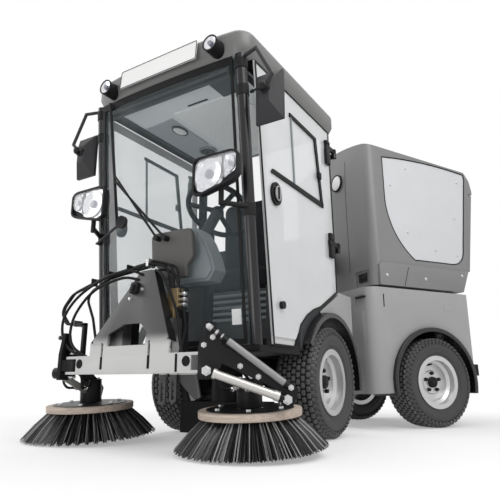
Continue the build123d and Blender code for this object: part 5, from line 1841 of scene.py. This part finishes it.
@dataclass
class RearDetails:
    """Screws, seals, seams, grip, latch and work lamp on the rear body and hopper."""

    places: Places
    sheet_face: float = 0.502
    seal_face: float = 0.503
    seal_radius: float = 0.0046
    sheet_screws: tuple[Pair, ...] = (
        (0.622, 1.813), (1.131, 1.791), (1.069, 1.488), (0.85, 1.214), (0.47, 1.66), (0.6, 1.32), (1.06, 1.2))
    skirt_screws: tuple[Pair, ...] = ((0.71, 0.99), (1.06, 1.042), (0.37, 0.99))
    skirt_seam: tuple[Pair, ...] = ((0.559, 1.06), (0.563, 1.06), (0.519, 0.925), (0.515, 0.925))
    body_slot: tuple[Pair, ...] = corners((0.325, 0.773), (0.333, 0.859))
    bare_place: tuple[Pair, ...] = corners((0.856, 0.775), (0.956, 0.822))
    work_lamp: Triple = (0.152, 0.262, 1.762)
    front_face: float = 0.2698
    sheet_edge: tuple[Pair, ...] = (
        *arc((0.408, 1.867), (0.777, 1.888), (1.195, 1.866), 5),
        (1.205, 1.854), (1.21, 1.83), (1.202, 1.78), (1.165, 1.53), (1.127, 1.28),
        *arc((1.119, 1.225), (1.086, 1.158), (1.012, 1.127), 3),
        (0.95, 1.126), (0.83, 1.125), (0.68, 1.124),
        *arc((0.644, 1.124), (0.478, 1.31), (0.41, 1.6), 5),
        (0.409, 1.74), (0.408, 1.84), (0.408, 1.867))
    skirt_face: float = 0.523
    body_face: float = 0.52

    def build(self) -> None:
        """Builds the rear's small pieces."""
        rear = self.places.rear()
        for side in Side:
            self.flank(side, rear)
        bare = Shape().plate(side_on(self.body_face, self.bare_place), (0.0012, 0, 0))
        bare.piece("bare_body_place", Look.BODY, "rear", rear)
        grip = Shape().rod((0.386, 0.207, 0.84), (0.484, 0.207, 0.84), 0.006, sides=16)
        grip.piece("body_grip_bar", Look.PLASTIC, "rear", rear)
        latch = Shape().box((0.34, 0.27, 0.955), (0.43, 0.278, 1.015), 0.003)
        latch.box((0.352, 0.2625, 0.972), (0.418, 0.272, 0.986), 0.003)
        latch.piece("hopper_latch", Look.BLACK, "hopper", rear)
        ahead = rear @ Matrix.Translation(self.work_lamp) @ AHEAD
        for name, finish, section in (
                ("lamp", Look.PLATE, [(0.0, 0.0), (0.0, 0.058), (0.01, 0.056), (0.014, 0.05), (0.016, 0)]),
                ("lamp_ring", Look.PLASTIC,
                 [(0.0, 0.058), (0.0, 0.068), (0.012, 0.066), (0.014, 0.057), (0.0, 0.058)])):
            Shape().lathe(section, Matrix(), 40).piece(f"hopper_work_{name}", finish, "hopper", ahead)
        seams = Shape()
        for x in (-0.25, 0.25):
            line = ((x, 1.04), (x * 0.98, 1.3), (x * 0.96, 1.6), (x, 1.9))
            seams.tube(front_on(self.front_face, line), 0.0016, 6, 6)
        seams.piece("hopper_front_seams", Look.DARK, "hopper", rear)

    def flank(self, side: Side, rear: Matrix) -> None:
        """Builds the screws, seal and seam of one side, and the painted shade in its slot.

        Args:
            side: The side.
            rear: Matrix from the rear frame to the row frame.
        """
        s = side.value
        for name, face, heads, spots in (
                ("sheet", self.sheet_face, Bolts(0.015, 0.005, Look.STEEL, 16), self.sheet_screws),
                ("skirt", self.skirt_face, Bolts(0.017, 0.006, Look.STEEL, 16), self.skirt_screws)):
            points = [(spot, (s, 0, 0)) for spot in side_on(s * face, spots)]
            heads.set(f"{name}_screws_{side.label}", "hopper", rear, points)
        seal = Shape().tube(side_on(s * self.seal_face, self.sheet_edge), self.seal_radius, 8, 3)
        seal.piece(f"sheet_seal_{side.label}", Look.PLASTIC, "hopper", rear, 60)
        seam = Shape().plate(side_on(s * self.skirt_face, self.skirt_seam), (s * 0.001, 0, 0))
        seam.piece(f"hopper_skirt_seam_{side.label}", Look.DARK, "hopper", rear)
        # A dark sheet paints the shade inside the body's slot
        slot = Shape().plate(side_on(s * self.body_face, self.body_slot), (s * 0.001, 0, 0))
        slot.piece(f"body_slot_{side.label}", Look.DARK, "rear", rear)


@dataclass
class MirrorGlass:
    """Silvered glass in the two mirror heads, and the ball joints on their backs."""

    places: Places
    ball: Triple = (0.615, -1.562, 1.57)
    ball_section: tuple[Pair, ...] = (
        (-0.016, 0.0), (-0.016, 0.026), (-0.01, 0.027), (-0.004, 0.02), (0.004, 0.0225), (0.012, 0.0215),
        (0.019, 0.0155), (0.0225, 0.007), (0.023, 0))
    glass: Triple = (0.61, -1.484, 1.552)
    glass_size: Pair = (0.128, 0.233)

    def build(self) -> None:
        """Builds the mirrors' glass and joints."""
        front = self.places.front()
        for side in Side:
            s = side.value
            x, y, z = s * self.ball[0], self.ball[1], self.ball[2]
            joint = Shape().lathe(self.ball_section, Matrix.Translation((x, y, z)) @ AHEAD, 28)
            joint.rod((x, y - 0.006, z), (x - s * 0.046, y - 0.012, z - 0.012), 0.0052, sides=12)
            knob = (x - s * 0.044, y - 0.012, z - 0.0115), (x - s * 0.06, y - 0.014, z - 0.016)
            joint.rod(*knob, 0.0095, 0.007, 14)
            joint.piece(f"mirror_joint_{side.label}", Look.BLACK, "front", front)
            x, y, z = s * self.glass[0], self.glass[1], self.glass[2]
            flat = [(x + wide, z + tall) for wide, tall in rounded(*self.glass_size, 0.014)]
            glass = Shape().plate(front_on(y, flat), (0, 0.0015, 0))
            glass.piece(f"mirror_glass_{side.label}", Look.MIRROR, "front", front)


@dataclass
class Stage:
    """Camera, floor, backdrop and soft studio light."""

    places: Places
    eye: Triple = (1.634, -3.303, 0.288)
    yaw: float = 32.017
    pitch: float = 14.629
    lens: float = 36.62
    sensor: float = 36.0
    floor_radius: float = 14.0
    floor_grey: float = 0.9
    fade: Pair = (1.5, 3.2)
    near_glow: float = 0.34
    world_light: float = 0.5
    aim: Triple = (0, -0.3, 0.9)
    soft_boxes: tuple[tuple[str, Triple, float, float], ...] = (
        ("key", (3.6, -2.4, 4.2), 3.0, 135.0), ("top", (-0.4, 0.2, 5.0), 4.0, 105.0),
        ("front", (0.4, -4.2, 0.5), 1.6, 26.0), ("fill", (-3.8, -3.0, 2.4), 3.0, 45.0))

    def build(self) -> None:
        """Builds the stage round the machine."""
        self.camera()
        self.floor()
        self.lights()
        bpy.context.scene.view_settings.view_transform = "Standard"

    def camera(self) -> None:
        """Sets the camera where the photo was taken from."""
        data = bpy.data.cameras.new("camera")
        data.lens = self.lens
        data.sensor_width = self.sensor
        made = bpy.data.objects.new("camera", data)
        made.matrix_world = (
            Matrix.Translation(self.places.pivot + Vector(self.eye))
            @ Matrix.Rotation(math.radians(self.yaw), 4, "Z")
            @ Matrix.Rotation(math.radians(90 + self.pitch), 4, "X"))
        bpy.context.scene.collection.objects.link(made)
        bpy.context.scene.camera = made

    def floor(self) -> None:
        """Lays a pale floor that fades into the white backdrop."""
        mesh = bpy.data.meshes.new("floor")
        shape = bmesh.new()
        bmesh.ops.create_circle(shape, cap_ends=True, segments=96, radius=self.floor_radius)
        shape.to_mesh(mesh)
        shape.free()
        made = bpy.data.objects.new("floor", mesh)
        bpy.context.scene.collection.objects.link(made)
        material = bpy.data.materials.new("pale_floor")
        material.use_nodes = True
        tree = material.node_tree
        tree.nodes.remove(tree.nodes["Principled BSDF"])
        node, link = tree.nodes.new, tree.links.new
        place, length = node("ShaderNodeTexCoord"), node("ShaderNodeVectorMath")
        fade, matt = node("ShaderNodeMapRange"), node("ShaderNodeBsdfDiffuse")
        glow, mix = node("ShaderNodeEmission"), node("ShaderNodeMixShader")
        length.operation = "LENGTH"
        fade.interpolation_type = "SMOOTHSTEP"
        fade.inputs["From Min"].default_value, fade.inputs["From Max"].default_value = self.fade
        fade.inputs["To Min"].default_value = self.near_glow
        matt.inputs["Color"].default_value = (self.floor_grey, self.floor_grey, self.floor_grey, 1)
        link(place.outputs["Object"], length.inputs[0])
        link(length.outputs["Value"], fade.inputs["Value"])
        part = node("ShaderNodeMath")
        part.operation = "MULTIPLY"
        link(self.seen_rays(tree), part.inputs[0])
        link(fade.outputs["Result"], part.inputs[1])
        link(part.outputs["Value"], mix.inputs[0])
        link(matt.outputs[0], mix.inputs[1])
        link(glow.outputs[0], mix.inputs[2])
        link(mix.outputs[0], tree.nodes["Material Output"].inputs["Surface"])
        mesh.materials.append(material)

    @staticmethod
    def seen_rays(tree: NodeTree) -> NodeSocket:
        """Adds the test for rays that show the background: seen straight, mirrored or through glass.

        Args:
            tree: The node tree of the floor or the world.

        Returns:
            A socket that is 1 for such rays and 0 for light.
        """
        path = tree.nodes.new("ShaderNodeLightPath")
        seen = path.outputs["Is Camera Ray"]
        for name in ("Is Glossy Ray", "Is Transmission Ray"):
            both = tree.nodes.new("ShaderNodeMath")
            both.operation = "MAXIMUM"
            tree.links.new(seen, both.inputs[0])
            tree.links.new(path.outputs[name], both.inputs[1])
            seen = both.outputs["Value"]
        return seen

    def lights(self) -> None:
        """Sets a white world and four soft boxes."""
        world = bpy.data.worlds.new("studio")
        bpy.context.scene.world = world
        world.use_nodes = True
        tree = world.node_tree
        node, link = tree.nodes.new, tree.links.new
        strength = node("ShaderNodeMapRange")
        strength.inputs["To Min"].default_value = self.world_light
        link(self.seen_rays(tree), strength.inputs["Value"])
        background = tree.nodes["Background"]
        background.inputs["Color"].default_value = (1, 1, 1, 1)
        link(strength.outputs["Result"], background.inputs["Strength"])
        for name, spot, size, power in self.soft_boxes:
            data = bpy.data.lights.new(name, "AREA")
            data.size = size
            data.energy = power
            lamp = bpy.data.objects.new(name, data)
            lamp.matrix_world = (
                Matrix.Translation(self.places.pivot + Vector(spot))
                @ (Vector(spot) - Vector(self.aim)).to_track_quat("Z", "Y").to_matrix().to_4x4())
            bpy.context.scene.collection.objects.link(lamp)


def main() -> None:
    """Builds the looks around the frame, one sub-assembly after another."""
    logging.basicConfig(level=logging.INFO, format="%(name)s: %(message)s")
    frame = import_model()
    places = Places.of(frame)
    CadNodes(frame["nodes"]).build()
    for assembly in (
            Wheels, Brushes, Doors, Lamps, CabInterior, HeadlinerFittings, Glazing, BrushGear, RearDetails,
            MirrorGlass, Stage):
        assembly(places).build()
        LOG.info("%s done", assembly.__name__)
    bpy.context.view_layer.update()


if __name__ == "__main__":
    main()
